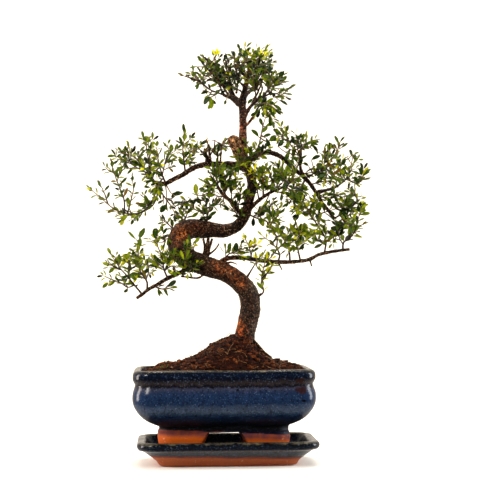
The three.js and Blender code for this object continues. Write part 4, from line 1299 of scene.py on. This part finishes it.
# Stems of every shoot: the first line leaves the wood, the others leave the first
shoots = {
    "crown_left_spray": [
        [(-2, 17, 415), (-7, 18, 417), (-14, 20, 420), (-20, 22, 424), (-25, 23, 429), (-35, 24, 434),
         (-44, 26, 437)],
        [(-14, 16, 420), (-17, 14, 413)],
        [(-23, 23, 427), (-22, 34, 440), (-17, 44, 450)],
        [(-18, 21, 422), (-27, 10, 430), (-34, 0, 438)],
    ],
    "crown_inner_spray": [
        [(3, 29, 429), (-1, 33, 441), (-7, 36, 451), (-10, 40, 461)],
        [(-1, 33, 441), (-10, 44, 450), (-21, 54, 462)],
        [(2, 30, 432), (4, 22, 443), (2, 14, 453)],
    ],
    "crown_front_spray": [
        [(23, -1, 420), (16, -12, 428), (12, -23, 440), (10, -34, 452)],
        [(16, -13, 427), (6, -28, 430), (-3, -42, 429)],
        [(12, -22, 438), (21, -35, 443), (24, -48, 451)],
    ],
    "crown_top_spray": [
        [(31, -3, 449), (33, -6, 456), (36, -8, 462)],
        [(32, -4, 452), (40, 1, 457), (47, 6, 464)],
    ],
    "crown_back_spray": [
        [(39, 25, 436), (42, 34, 446), (43, 44, 456)],
        [(41, 31, 442), (50, 42, 449), (57, 52, 456)],
        [(40, 28, 440), (51, 24, 436), (58, 20, 435)],
        [(40, 28, 440), (33, 43, 445), (28, 58, 454)],
    ],
    "crown_right_spray": [
        [(45, -21, 408), (51, -26, 412), (55, -31, 421), (62, -36, 429)],
        [(51, -26, 412), (59, -38, 409), (66, -50, 405)],
        [(54, -31, 417), (48, -24, 428), (45, -16, 438)],
    ],
    "crown_low_spray": [
        [(37, -21, 395), (40, -29, 399), (46, -38, 399), (53, -46, 394)],
        [(40, -29, 399), (43, -32, 390), (50, -34, 388)],
    ],
    "rising_shoot": [
        [(32, -2, 341), (37, -6, 350), (40, -11, 362), (43, -16, 377), (47, -20, 389)],
    ],
    "knot_spray": [
        [(30, -6, 330), (28, -11, 338), (27, -17, 347), (25, -22, 354)],
        [(29, -10, 337), (35, -20, 342), (41, -30, 341)],
        [(27, -14, 342), (20, -24, 337), (14, -34, 330)],
    ],
    "yellow_shoot": [
        [(34, -5, 315), (34, -12, 320), (32, -20, 326)],
    ],
    "left_tip_spray": [
        [(-78, -22, 313), (-83, -17, 320), (-90, -11, 326), (-99, -6, 331), (-106, -1, 336), (-113, 5, 338),
         (-121, 10, 342)],
        [(-105, -1, 335), (-108, -8, 342), (-111, -14, 348)],
        [(-84, -18, 321), (-90, -11, 331), (-97, -3, 339), (-103, 4, 347)],
        [(-83, -18, 321), (-85, -25, 336), (-87, -31, 349), (-87, -38, 357)],
    ],
    "left_lower_spray": [
        [(-77, -22, 308), (-78, -26, 304), (-80, -29, 295), (-86, -33, 286), (-92, -37, 280),
         (-101, -40, 277), (-109, -44, 278), (-117, -47, 280), (-126, -51, 285), (-134, -55, 292),
         (-141, -58, 298), (-147, -62, 303)],
        [(-108, -47, 278), (-106, -42, 287), (-104, -36, 296), (-102, -31, 305), (-103, -26, 315)],
        [(-110, -47, 279), (-112, -52, 293), (-116, -58, 304), (-119, -63, 312), (-122, -69, 321),
         (-124, -74, 330)],
        [(-128, -56, 287), (-133, -48, 299), (-137, -40, 308)],
        [(-106, -46, 278), (-110, -48, 274), (-114, -50, 272)],
        [(-86, -30, 286), (-89, -32, 294), (-90, -34, 298)],
    ],
    "left_cluster_spray": [
        [(-67, -19, 315), (-71, -27, 324), (-74, -36, 336), (-76, -44, 351)],
        [(-70, -26, 321), (-67, -15, 335), (-63, -5, 348), (-64, 6, 357)],
        [(-72, -33, 329), (-79, -44, 324), (-84, -54, 325)],
        [(-69, -23, 318), (-74, -34, 311), (-75, -46, 304)],
    ],
    "left_hanging_spray": [
        [(-74, -23, 307), (-72, -18, 304), (-66, -12, 295), (-59, -7, 285), (-56, -2, 278)],
        [(-68, -17, 299), (-69, -26, 289)],
        [(-66, -13, 295), (-60, 0, 296), (-54, 14, 301)],
    ],
    "left_top_spray_a": [
        [(-45, -14, 326), (-46, -21, 338), (-47, -27, 350), (-45, -34, 363)],
        [(-46, -19, 335), (-40, -4, 344), (-36, 12, 353)],
    ],
    "left_top_spray_b": [
        [(-21, -9, 337), (-20, 0, 348), (-18, 8, 361)],
        [(-20, -4, 344), (-27, -17, 349), (-35, -30, 351)],
    ],
    "left_top_spray_c": [
        [(-8, -6, 337), (-7, 3, 352), (-3, 13, 357), (2, 22, 361)],
    ],
    "middle_left_spray": [
        [(-10, -35, 310), (-14, -40, 316), (-18, -44, 321)],
        [(-12, -38, 312), (-8, -47, 321), (-7, -56, 328)],
        [(-11, -36, 311), (-1, -27, 317), (5, -18, 326)],
        [(-11, -36, 311), (-18, -45, 309), (-24, -54, 311)],
    ],
    "arc_spray": [
        [(-19, 9, 275), (-20, 10, 285), (-22, 12, 293), (-30, 13, 297), (-31, 14, 305)],
        [(-21, 11, 289), (-16, 22, 300), (-15, 34, 310)],
        [(-20, 10, 285), (-11, 18, 290), (-3, 26, 290)],
        [(-27, 13, 296), (-39, 8, 294), (-50, 2, 291)],
    ],
    "arc_left_spray": [
        [(-46, 8, 270), (-49, 19, 276), (-56, 30, 280)],
        [(-46, 12, 272), (-42, 19, 280), (-38, 26, 288)],
    ],
    "loop_outer_spray": [
        [(-58, 2, 259), (-63, 12, 267), (-70, 22, 273)],
        [(-60, 7, 262), (-62, -2, 254), (-67, -12, 249)],
    ],
    "loop_front_spray": [
        [(-47, -13, 223), (-45, -20, 230), (-43, -27, 238), (-41, -34, 246)],
        [(-46, -15, 226), (-40, -26, 221), (-36, -38, 216)],
        [(-46, -17, 228), (-53, -24, 229), (-60, -32, 227)],
    ],
    "left_low_outer_spray": [
        [(-94, -21, 192), (-103, -26, 201), (-111, -30, 211), (-118, -35, 219), (-126, -40, 232)],
        [(-108, -30, 207), (-107, -41, 218), (-108, -52, 228)],
        [(-101, -25, 199), (-109, -21, 197), (-117, -18, 202), (-127, -14, 206), (-136, -10, 210)],
        [(-115, -33, 216), (-124, -44, 220), (-130, -54, 223)],
    ],
    "left_low_middle_spray": [
        [(-88, -19, 195), (-88, -14, 203), (-95, -8, 214), (-98, -3, 225), (-97, 3, 240), (-96, 8, 252)],
        [(-90, -14, 206), (-86, 2, 215), (-87, 18, 226)],
        [(-98, -4, 230), (-105, -14, 232), (-111, -24, 230)],
    ],
    "left_low_inner_spray": [
        [(-66, -7, 209), (-69, -14, 217), (-71, -20, 230), (-76, -27, 244), (-76, -34, 255)],
        [(-70, -17, 223), (-64, -4, 234), (-61, 8, 244)],
        [(-68, -12, 215), (-61, -23, 220), (-55, -34, 220)],
        [(-69, -14, 218), (-78, -1, 226), (-84, 12, 232)],
    ],
    "left_low_sprig": [
        [(-79, -15, 196), (-73, -20, 195), (-68, -25, 195), (-62, -30, 196)],
    ],
    "right_low_inner_spray": [
        [(60, 4, 226), (61, -4, 232), (57, -13, 239), (51, -22, 245), (41, -30, 252)],
        [(56, -12, 240), (57, -21, 251), (51, -31, 260), (46, -40, 268)],
        [(57, -10, 239), (65, -16, 245), (68, -22, 253)],
    ],
    "right_low_middle_spray": [
        [(74, 7, 226), (73, 14, 237), (72, 22, 244), (75, 29, 254), (80, 36, 263)],
        [(72, 20, 245), (82, 11, 251), (86, 2, 260)],
        [(72, 16, 241), (66, 30, 254), (61, 44, 267)],
    ],
    "right_low_rising_spray": [
        [(84, 10, 228), (83, 18, 239), (82, 25, 245), (87, 32, 254), (93, 40, 262)],
        [(83, 22, 242), (91, 37, 247), (99, 52, 254)],
    ],
    "right_low_outer_spray": [
        [(112, 12, 237), (114, 7, 249), (105, 2, 264), (97, -4, 276), (91, -9, 286), (86, -14, 295)],
        [(113, 6, 242), (104, -8, 248), (99, -22, 256)],
        [(97, -4, 277), (87, -19, 280), (78, -34, 285)],
        [(93, -7, 282), (102, 4, 287), (106, 14, 295)],
    ],
    "right_low_tip_spray": [
        [(133, 18, 240), (135, 13, 246), (141, 8, 250), (147, 2, 259), (150, -3, 272), (153, -8, 283)],
        [(134, 14, 244), (131, 27, 253), (134, 40, 264)],
        [(141, 8, 250), (140, -9, 261), (134, -26, 269)],
    ],
    "right_upper_spray_a": [
        [(94, 25, 322), (103, 21, 325), (111, 17, 328), (119, 14, 335), (124, 10, 343), (129, 6, 353)],
        [(111, 18, 328), (113, -2, 338), (110, -22, 346)],
        [(117, 15, 332), (128, 26, 333), (137, 36, 340)],
        [(116, 16, 331), (120, 1, 322), (125, -14, 319)],
    ],
    "right_upper_spray_b": [
        [(87, 12, 353), (87, 4, 358), (85, -4, 363)],
        [(87, 11, 356), (76, -1, 359), (66, -14, 362), (58, -26, 365)],
        [(87, 11, 355), (96, 22, 359), (103, 34, 362)],
        [(87, 11, 354), (78, 0, 350), (70, -12, 351)],
    ],
    "right_upper_spray_c": [
        [(134, 45, 313), (140, 49, 318), (144, 52, 324), (148, 56, 335), (151, 60, 345)],
        [(139, 47, 316), (134, 38, 327), (134, 28, 334)],
        [(143, 50, 322), (151, 56, 316), (161, 62, 318), (164, 68, 329)],
    ],
    "right_upper_spray_d": [
        [(129, 42, 276), (135, 37, 279), (145, 33, 286), (156, 28, 296)],
        [(134, 40, 278), (138, 31, 269), (144, 22, 266)],
        [(139, 38, 282), (139, 48, 292), (141, 58, 302)],
        [(147, 34, 288), (151, 21, 294), (147, 8, 305)],
    ],
    "right_mid_spray_a": [
        [(62, -25, 306), (68, -31, 308), (74, -36, 315), (75, -42, 324)],
        [(67, -29, 308), (73, -22, 304), (82, -14, 303)],
        [(70, -33, 310), (63, -44, 316), (59, -54, 323)],
    ],
    "right_mid_spray_b": [
        [(41, -12, 298), (43, -19, 307), (48, -25, 316), (51, -32, 324)],
        [(43, -18, 308), (52, -32, 310), (56, -46, 316)],
        [(47, -23, 314), (41, -10, 320), (39, 4, 328)],
    ],
    "right_mid_spray_c": [
        [(29, -1, 277), (36, -7, 273), (44, -13, 270), (52, -18, 267), (57, -24, 274), (58, -30, 282)],
        [(42, -11, 271), (37, -26, 278), (40, -40, 285)],
        [(48, -16, 269), (51, -9, 279), (49, -2, 287)],
    ],
    "hanging_sprig": [
        [(40, -4, 183), (42, -7, 190), (41, -10, 198), (40, -12, 207), (42, -15, 217), (45, -18, 227)],
        [(40, -12, 206), (48, -19, 214), (52, -26, 222)],
        [(41, -14, 213), (35, -9, 219), (35, -4, 228)],
    ],
}

usualLook = {"bare": 0.2, "twigs": 0.62, "tone": 0.38, "size": 1.0, "step": 5.6, "rusty": 0.01}

shootLooks = {
    "crown_left_spray": {"tone": 0.3, "size": 0.88, "bare": 0.3},
    "crown_inner_spray": {"tone": 0.1, "size": 0.84, "bare": 0.24},
    "crown_front_spray": {"tone": 0.16, "size": 0.86, "bare": 0.26},
    "crown_top_spray": {"tone": 0.6, "bare": 0.1},
    "crown_back_spray": {"tone": 0.2, "size": 0.88, "bare": 0.24},
    "crown_right_spray": {"tone": 0.28, "size": 0.92, "bare": 0.32},
    "rising_shoot": {"twigs": 0.0, "tone": 0.42, "step": 30.0, "bare": 0.9, "size": 0.9},
    "left_lower_spray": {"twigs": 0.3, "size": 0.9, "rusty": 0.06},
    "left_top_spray_b": {"twigs": 0.0, "size": 0.75, "tone": 0.2, "step": 9.0, "rusty": 0.4},
    "arc_spray": {"tone": 0.3, "size": 0.9},
    "yellow_shoot": {"tone": 1.0, "bare": 0.1, "size": 0.9},
    "left_cluster_spray": {"tone": 0.45, "twigs": 0.6, "bare": 0.15},
    "left_hanging_spray": {"tone": 0.15, "bare": 0.5, "size": 1.15, "twigs": 0.0, "step": 10.0},
    "left_low_outer_spray": {"tone": 0.45},
    "left_low_middle_spray": {"tone": 0.5},
    "left_low_inner_spray": {"tone": 0.55, "twigs": 0.6},
    "right_low_inner_spray": {"tone": 0.5, "twigs": 0.45},
    "right_low_middle_spray": {"tone": 0.5, "twigs": 0.45},
    "right_low_rising_spray": {"tone": 0.45, "twigs": 0.45},
    "right_low_outer_spray": {"tone": 0.45, "twigs": 0.5},
    "middle_left_spray": {"tone": 0.35, "twigs": 0.75},
    "right_upper_spray_a": {"rusty": 0.12},
    "right_upper_spray_b": {"twigs": 0.75},
    "right_upper_spray_c": {"twigs": 0.75},
    "left_low_sprig": {"tone": 0.35, "twigs": 0.0},
    "hanging_sprig": {"tone": 0.65, "bare": 0.35, "twigs": 0.2},
}


# Stems that only fill out a shoot, from its own stems or from the wood
fillStems = {
    "crown_left_spray": [
        [(6, 12, 411), (0, 4, 420), (-6, -4, 430), (-10, -12, 440)],
        [(-2, 17, 415), (-4, 6, 424), (-12, -2, 436), (-16, -10, 446)],
        [(2, 15, 414), (-6, 22, 428), (-12, 26, 442), (-16, 30, 452)],
        [(-7, 18, 417), (-12, 8, 412), (-18, 0, 409)],
    ],
    "crown_inner_spray": [
        [(12, 12, 412), (8, 2, 424), (6, -6, 438), (4, -12, 450)],
        [(8, 19, 418), (-2, 14, 430), (-8, 8, 444), (-11, 2, 456)],
        [(6, 24, 424), (14, 22, 437), (16, 18, 447), (14, 14, 454)],
        [(10, 16, 416), (2, 10, 424), (0, 2, 434)],
    ],
    "crown_front_spray": [
        [(24, -2, 424), (30, -14, 434), (36, -24, 444), (38, -32, 452)],
        [(22, -1, 414), (14, -12, 418), (6, -22, 420)],
        [(26, -2, 430), (18, -14, 441), (14, -22, 450), (16, -28, 455)],
        [(23, -1, 418), (32, -12, 420), (40, -22, 424)],
    ],
    "crown_top_spray": [
        [(29, -3, 444), (22, -4, 454), (18, -6, 462)],
        [(29, -3, 440), (38, -10, 448), (44, -16, 456)],
    ],
    "crown_back_spray": [
        [(36, 16, 424), (33, 6, 434), (31, 4, 446)],
        [(38, 22, 430), (46, 14, 444), (52, 8, 454)],
        [(30, 9, 418), (40, 8, 430), (48, 4, 440)],
        [(36, 16, 424), (24, 24, 436), (18, 32, 448)],
    ],
    "crown_right_spray": [
        [(36, -15, 404), (34, -24, 414), (32, -32, 424), (30, -38, 434)],
        [(43, -20, 408), (52, -16, 420), (58, -12, 432)],
        [(30, -10, 399), (38, -20, 400), (46, -30, 398)],
        [(43, -20, 408), (50, -36, 418), (54, -44, 428)],
    ],
    "right_mid_spray_a": [
        [(54, -17, 302), (60, -8, 312), (64, 0, 322), (66, 6, 332)],
        [(50, -15, 300), (52, -24, 310), (58, -34, 322)],
    ],
    "right_mid_spray_b": [
        [(38, -9, 294), (36, -16, 306), (40, -24, 318), (44, -30, 330)],
    ],
    "right_upper_spray_a": [
        [(72, 15, 336), (70, 6, 326), (66, -4, 318)],
        [(82, 19, 328), (84, 10, 336), (84, 0, 344)],
        [(92, 23, 320), (88, 12, 312), (84, 2, 306)],
    ],
    "right_low_inner_spray": [
        [(-3.6, -6, 225.7), (4.1, -10, 233.4), (10.7, -13, 235.5), (18.5, -14, 241)],
        [(31, -8, 228.8), (26.4, -12, 241), (22, -14, 249.9)],
    ],
    "right_upper_spray_b": [
        [(88.1, 12, 321.2), (100.2, 22, 326.2), (112.3, 30, 333.4)],
        [(110.9, 18, 288.5), (107.1, 28, 278.7), (109.8, 34, 265.2)],
        [(119.9, 18, 277.1), (130, 28, 285.3), (142.2, 36, 289)],
        [(98.3, 14, 307.6), (109.4, 24, 314.9), (122.6, 32, 317.5)],
    ],
    "right_upper_spray_c": [
        [(104, 16, 298.6), (116.2, 26, 296.8), (130.7, 34, 301.6)],
        [(92.5, 12, 312.1), (82.9, 20, 304.7), (74.1, 26, 294.8)],
        [(106.3, 16, 294.1), (95.7, 26, 287.8), (87, 32, 285.9)],
    ],
    "right_upper_spray_d": [
        [(133.6, 20, 269.1), (127.4, 28, 258.1), (124.5, 34, 245.7)],
        [(129.1, 20, 273.7), (143.5, 28, 278.4), (154.5, 34, 286.5)],
    ],
    "right_mid_spray_c": [
        [(67.1, 4, 309.6), (76.8, 14, 299.9), (88.6, 22, 291.1)],
        [(62.6, 2, 316.3), (74.5, 12, 319), (83, 20, 312.6)],
    ],
    "middle_left_spray": [
        [(9, -12, 286.9), (6.8, -14, 299.1), (10.2, -16, 311.3), (14.6, -18, 320)],
        [(3.3, -18, 294.5), (-3.3, -18, 306.8), (-1, -18, 319)],
        [(-3.6, -25, 302), (3.5, -16, 311.3), (8.3, -8, 322.9)],
        [(12.4, -8, 282.6), (16.8, -13, 294.6), (17.8, -18, 306.6)],
        [(-8.1, -30, 308.4), (-10.2, -30, 318.4), (-14.6, -30, 326.2)],
        [(-0.2, -21, 297.7), (-9.1, -22, 297.8), (-16.8, -22, 302.3)],
    ],
    "arc_spray": [
        [(15, 2, 272.9), (11.3, -8, 280.4), (8.9, -14, 286.8)],
        [(-21.1, -2, 271.9), (-17.8, -8, 281.7), (-12.2, -12, 289.3)],
        [(-28.9, -4, 273), (-34.5, -8, 284.1), (-37.8, -10, 290.8)],
    ],
    "left_lower_spray": [
        [(-75.7, -4, 308.2), (-80.3, -10, 288.9), (-91.5, -12, 281.1), (-104.9, -12, 279),
         (-128.4, -12, 282)],
    ],
    "left_cluster_spray": [
        [(-83.4, -4, 319.5), (-92.2, -10, 332.6), (-102.1, -14, 342.4), (-117.7, -16, 347.5)],
    ],
}

# Leaves that stand out, each from its foot to its tip: x, z, x, z, depth, shade and width
singleLeaves = {
    "crown_left_spray": [
        (-15.6, 409.1, -24.1, 401, -18, 0.12, 0.52), (-15.1, 408.6, -13.9, 395, -18, 0.55, 0.42),
        (-9.3, 454.3, -13.1, 461.3, -18, 1, 0.45), (-8.9, 454.9, -8, 462.9, -18, 1, 0.4),
        (-8.7, 454.9, -4.2, 460.4, -18, 1, 0.4), (-30.6, 436.7, -36.4, 432, -18, 0.35, 0.45),
        (-27.9, 423.9, -32, 417, -18, 0.3, 0.42), (-28.9, 442.3, -39.4, 441.8, -18, 0.45, 0.25),
        (-19.9, 447.2, -26.5, 451.7, -18, 0.6, 0.4), (-22.3, 429.4, -28.9, 431.7, -18, 0.5, 0.4),
    ],
    "crown_inner_spray": [
        (1.6, 404.7, -0.6, 399, -26, 0.25, 0.5), (4.2, 431.6, 7.5, 434.2, -26, 1, 0.5),
        (4.2, 431.6, 1.5, 434.5, -26, 1, 0.5), (4.5, 431.4, 5.9, 427.6, -26, 0.95, 0.5),
        (11, 452.6, 7.7, 458.2, -26, 0.3, 0.45), (-2.4, 446.1, 2.1, 451.6, -26, 0.1, 0.45),
        (-3.5, 441.6, -9, 445, -26, 0.08, 0.45),
    ],
    "crown_front_spray": [
        (26.2, 449.5, 21.2, 458.9, -32, 0.35, 0.45), (31.7, 447.2, 34, 455, -32, 0.6, 0.45),
        (23.9, 438.5, 29.5, 445.1, -32, 0.5, 0.4),
    ],
    "crown_top_spray": [
        (42.5, 452.8, 41.4, 461.6, -18, 1, 0.36), (44.1, 453.3, 48.1, 460.2, -18, 1, 0.4),
        (43.6, 455, 50.3, 455.5, -18, 0.95, 0.3), (42.5, 453.9, 37.4, 458, -18, 0.9, 0.36),
        (41.3, 448.9, 46.4, 452.2, -18, 0.8, 0.4),
    ],
    "crown_right_spray": [
        (62, 422.9, 63.4, 436.4, -26, 0.1, 0.36), (62.9, 423.7, 68.7, 431, -26, 0.35, 0.5),
        (65.4, 423.6, 72.4, 425, -26, 0.4, 0.2), (56.1, 423.4, 56.7, 430, -26, 0.1, 0.4),
        (61.1, 416.9, 71.1, 412.8, -26, 0.25, 0.3), (59.4, 404.2, 71, 399.5, -26, 0.1, 0.32),
        (46.6, 403.5, 56, 397.9, -26, 0.22, 0.45), (52.7, 399.6, 63.7, 392.5, -26, 0.3, 0.36),
        (54.2, 406.2, 65.5, 409.4, -26, 0.5, 0.36), (44, 399.2, 45.9, 388.4, -26, 0.3, 0.4),
        (48.1, 386.2, 58.2, 393, -26, 0.6, 0.5), (41.6, 400.2, 34.9, 395.8, -26, 0.3, 0.45),
        (31.7, 405.9, 25, 400.4, -26, 0.25, 0.45),
    ],
    "rising_shoot": [
        (42.1, 375.2, 38.7, 384.8, -20, 0.3, 0.4), (44.6, 374.7, 56.2, 379.6, -20, 0.5, 0.42),
        (41, 367.5, 47.3, 375.2, -20, 0.45, 0.5), (37.8, 362.8, 31.1, 373.1, -20, 0.28, 0.44),
        (41.8, 363.2, 51.2, 366.9, -20, 0.25, 0.42), (45.5, 362.8, 50.7, 351.1, -20, 0.1, 0.36),
        (48.8, 357.9, 57, 366, -20, 0.35, 0.48), (49.3, 358.5, 61.8, 361.7, -20, 0.2, 0.3),
        (43.7, 349.7, 48.2, 358.5, -20, 0.2, 0.4),
    ],
    "right_upper_spray_a": [
        (59.3, 353.1, 66, 359.5, -6, 0.12, 0.6), (67.9, 367.3, 62.6, 372.7, -6, 0.2, 0.4),
        (67.9, 367.3, 71.3, 375.8, -6, 0.35, 0.4), (80.4, 360.5, 86, 367.1, -6, 0.2, 0.45),
        (88.2, 353.7, 94.9, 358.1, -6, 0.3, 0.4), (129.2, 356.7, 124.3, 366.1, 2, 0.3, 0.4),
        (130.4, 358.4, 135.8, 365.8, 2, 0.15, 0.26), (126.2, 349.8, 117.8, 358.8, 6, 0.25, 0.34),
        (131.4, 351.7, 139.4, 358.3, 2, 0.3, 0.3), (147.7, 345.8, 144.6, 352.7, 32, 0.12, 0.5),
        (98.8, 339.5, 109.1, 346.2, 17, 0.15, 0.42), (96.8, 333, 90.6, 337.6, 21, 0.15, 0.5),
    ],
    "left_cluster_spray": [
        (-64.5, 288.9, -73.4, 280.5, -18, 0.12, 0.52), (-57.9, 298.4, -50.1, 303.9, -18, 0.1, 0.6),
    ],
    "middle_left_spray": [
        (-8, 290.4, -16.5, 286.3, -22, 0.18, 0.5), (-2.3, 288.8, 3.4, 281, -22, 0.08, 0.46),
        (-32.4, 298, -33.8, 311.3, -22, 0.7, 0.42), (-18, 297.8, -18.3, 308.9, -22, 0.55, 0.4),
        (-12.5, 287.8, -5.8, 293.3, -22, 0.15, 0.5),
    ],
    "loop_outer_spray": [
        (-75.5, 254.1, -78.3, 262.6, -16, 0.15, 0.5), (-70.2, 254.7, -65.6, 262.9, -16, 0.2, 0.36),
        (-75.5, 219.1, -82.6, 227.4, -16, 0.65, 0.5), (-72.9, 246.2, -80.6, 249.7, -16, 0.3, 0.4),
    ],
    "loop_front_spray": [
        (-46.6, 226.3, -50.4, 237.2, -34, 0.75, 0.3), (-45.2, 226.8, -38.7, 232.9, -34, 0.6, 0.4),
        (-46.1, 224.6, -38.1, 223.9, -34, 0.4, 0.3), (-46.8, 224.6, -53.6, 219.8, -34, 0.35, 0.3),
        (-44.7, 227.9, -41.1, 237.8, -34, 0.55, 0.3), (-32.9, 216.8, -44.8, 213.8, -34, 0.05, 0.5),
        (-40.8, 239.6, -39.7, 247.3, -34, 0.22, 0.6),
    ],
    "left_low_sprig": [
        (-66, 196.7, -55, 203.5, -20, 0.1, 0.44), (-75.5, 195, -70.2, 188.1, -20, 0.4, 0.24),
        (-70.4, 195.2, -63.8, 187.1, -20, 0.35, 0.24), (-63.7, 195.4, -56.9, 192.2, -20, 0.25, 0.24),
    ],
    "right_low_inner_spray": [
        (2.1, 236.9, 6.5, 245.4, -14, 0.3, 0.5), (12.3, 234.4, 11.4, 246, -14, 0.08, 0.5),
        (18.3, 238.6, 26.3, 240.7, -14, 0.5, 0.3), (18.3, 233.7, 27.4, 235.4, -14, 0.4, 0.26),
        (16.7, 243.7, 20.2, 249.5, -14, 0.12, 0.5), (33.7, 242.7, 26, 248.6, -14, 0.9, 0.34),
        (33.9, 243.1, 33.1, 251.6, -14, 0.85, 0.34), (34.2, 242.7, 41.5, 240.4, -14, 0.9, 0.3),
        (34.6, 243.1, 40.2, 249.5, -14, 1, 0.34), (44.6, 224.7, 47.9, 235.9, -14, 0.45, 0.46),
    ],
    "right_mid_spray_a": [
        (36.9, 278.2, 48.6, 281, -24, 0.3, 0.34), (40.7, 286.1, 48.5, 291.6, -24, 0.25, 0.4),
        (45.3, 303.8, 53.1, 309.3, -24, 0.15, 0.45),
    ],
    "right_upper_spray_c": [
        (151, 348.1, 157.9, 352.3, 56, 0.5, 0.25), (159.6, 322.9, 160, 334, 52, 0.2, 0.42),
        (160.8, 322.9, 169, 330, 52, 0.3, 0.32), (160.1, 318.3, 171.2, 321.9, 52, 0.35, 0.2),
        (157.2, 314.3, 151, 323, 52, 0.25, 0.45),
    ],
    "right_low_tip_spray": [
        (151.4, 277.3, 156.7, 287.7, -7, 0.55, 0.5),
    ],
    "left_top_spray_a": [
        (-46.1, 366.7, -45.8, 377.4, -38, 0.12, 0.34), (-45.4, 357.9, -43.1, 365.6, -38, 0.6, 0.5),
        (-46.5, 352.9, -51, 363.5, -31, 0.3, 0.3), (-43.1, 352.9, -38.1, 355.6, -31, 0.3, 0.4),
    ],
    "left_lower_spray": [
        (-107.4, 276.8, -115.5, 269.7, -51, 0.6, 0.5), (-124.1, 326.3, -123.8, 333.4, -78, 0.35, 0.6),
        (-121.8, 321.9, -110.9, 327.7, -78, 0.4, 0.3),
    ],
    "left_low_middle_spray": [
        (-97, 250.3, -89.6, 263.3, 4, 0.35, 0.36), (-96.8, 239.5, -95.3, 252.4, -1, 0.45, 0.4),
        (-99.4, 249.9, -109.6, 259.7, 4, 0.5, 0.22),
    ],
    "left_low_inner_spray": [
        (-77.7, 249.1, -80.2, 261.7, -38, 0.2, 0.45),
    ],
    "left_tip_spray": [
        (-111.5, 347.8, -110.2, 354.5, -18, 0.3, 0.5), (-112.6, 346.7, -120, 347.9, -18, 0.15, 0.28),
    ],
    "right_upper_spray_b": [
        (97.3, 354.3, 104.2, 361, 18, 0.35, 0.4), (91.4, 358, 85.8, 362.6, 7, 0.5, 0.4),
        (84.2, 358.7, 80.9, 367.7, 0, 0.3, 0.4),
    ],
}


def nearestOn(paths, point):
    best = min(paths, key=lambda path: np.linalg.norm(path - point, axis=1).min())
    return best[np.linalg.norm(best - point, axis=1).argmin()]


# Adds the leaves that stand out, each on a short twig of its own
def addSingles(bag, name, paths, rand):
    for x, z, tipX, tipZ, depth, shade, wide in singleLeaves.get(name, []):
        foot = np.array([x, depth, z])
        along = np.array([tipX - x, rand.uniform(-1.5, 1.5), tipZ - z])
        start = nearestOn(paths, foot)
        reach = np.linalg.norm(foot - start)
        if reach > 1.5:
            elbow = start + (foot - start) * 0.6 + np.array([0, 0, -0.08 * reach])
            twig = smoothPath([start, elbow, foot + unit(along) * 0.8], 1.6)
            addTwig(bag, twig, 0.85, 0.5, 0.0)
        facing = np.array([rand.uniform(-0.3, 0.3), -1.0, 0.55])
        length = np.linalg.norm(along)
        addLeaf(bag, foot, along, facing, length, length * wide, pickGreen(shade), rand, 0.25)


def makeShoots():
    bark, leaf = twigMaterial(), leafMaterial()
    wood = [smoothPath(trunkLine, 2.0)] + [smoothPath(line, 2.0) for line, _ in limbs.values()]
    total = 0
    for number, (name, stems) in enumerate(shoots.items()):
        rand = random.Random(100 + number)
        look = {**usualLook, **shootLooks.get(name, {})}
        bag = newBag()
        paths = []
        for line in stems + fillStems.get(name, []):
            carrier = paths or wood if line in stems else paths + wood
            start = nearestOn(carrier, np.array(line[0], dtype=float))
            path = smoothPath([tuple(start)] + list(line[1:]), 1.8)
            first = twigShape["base"] * (0.8 if paths else 1.0)
            share = np.linspace(0, 1, len(path))
            tint = np.array([blend(twigShape["old"], twigShape["new"], max(0, s * 1.5 - 0.5)) for s in share])
            addTube(bag, path, first + (twigShape["tip"] - first) * share, 6, tint)
            dressStem(bag, path, rand, look)
            paths.append(path)
        addSingles(bag, name, paths, rand)
        makePiece("leafy_" + name, bag, [bark, leaf], name)
        total += sum(1 for face in bag["faces"] if len(face) == 4)
    print("shoots made:", len(shoots), "pieces,", total, "quads")


makeShoots()
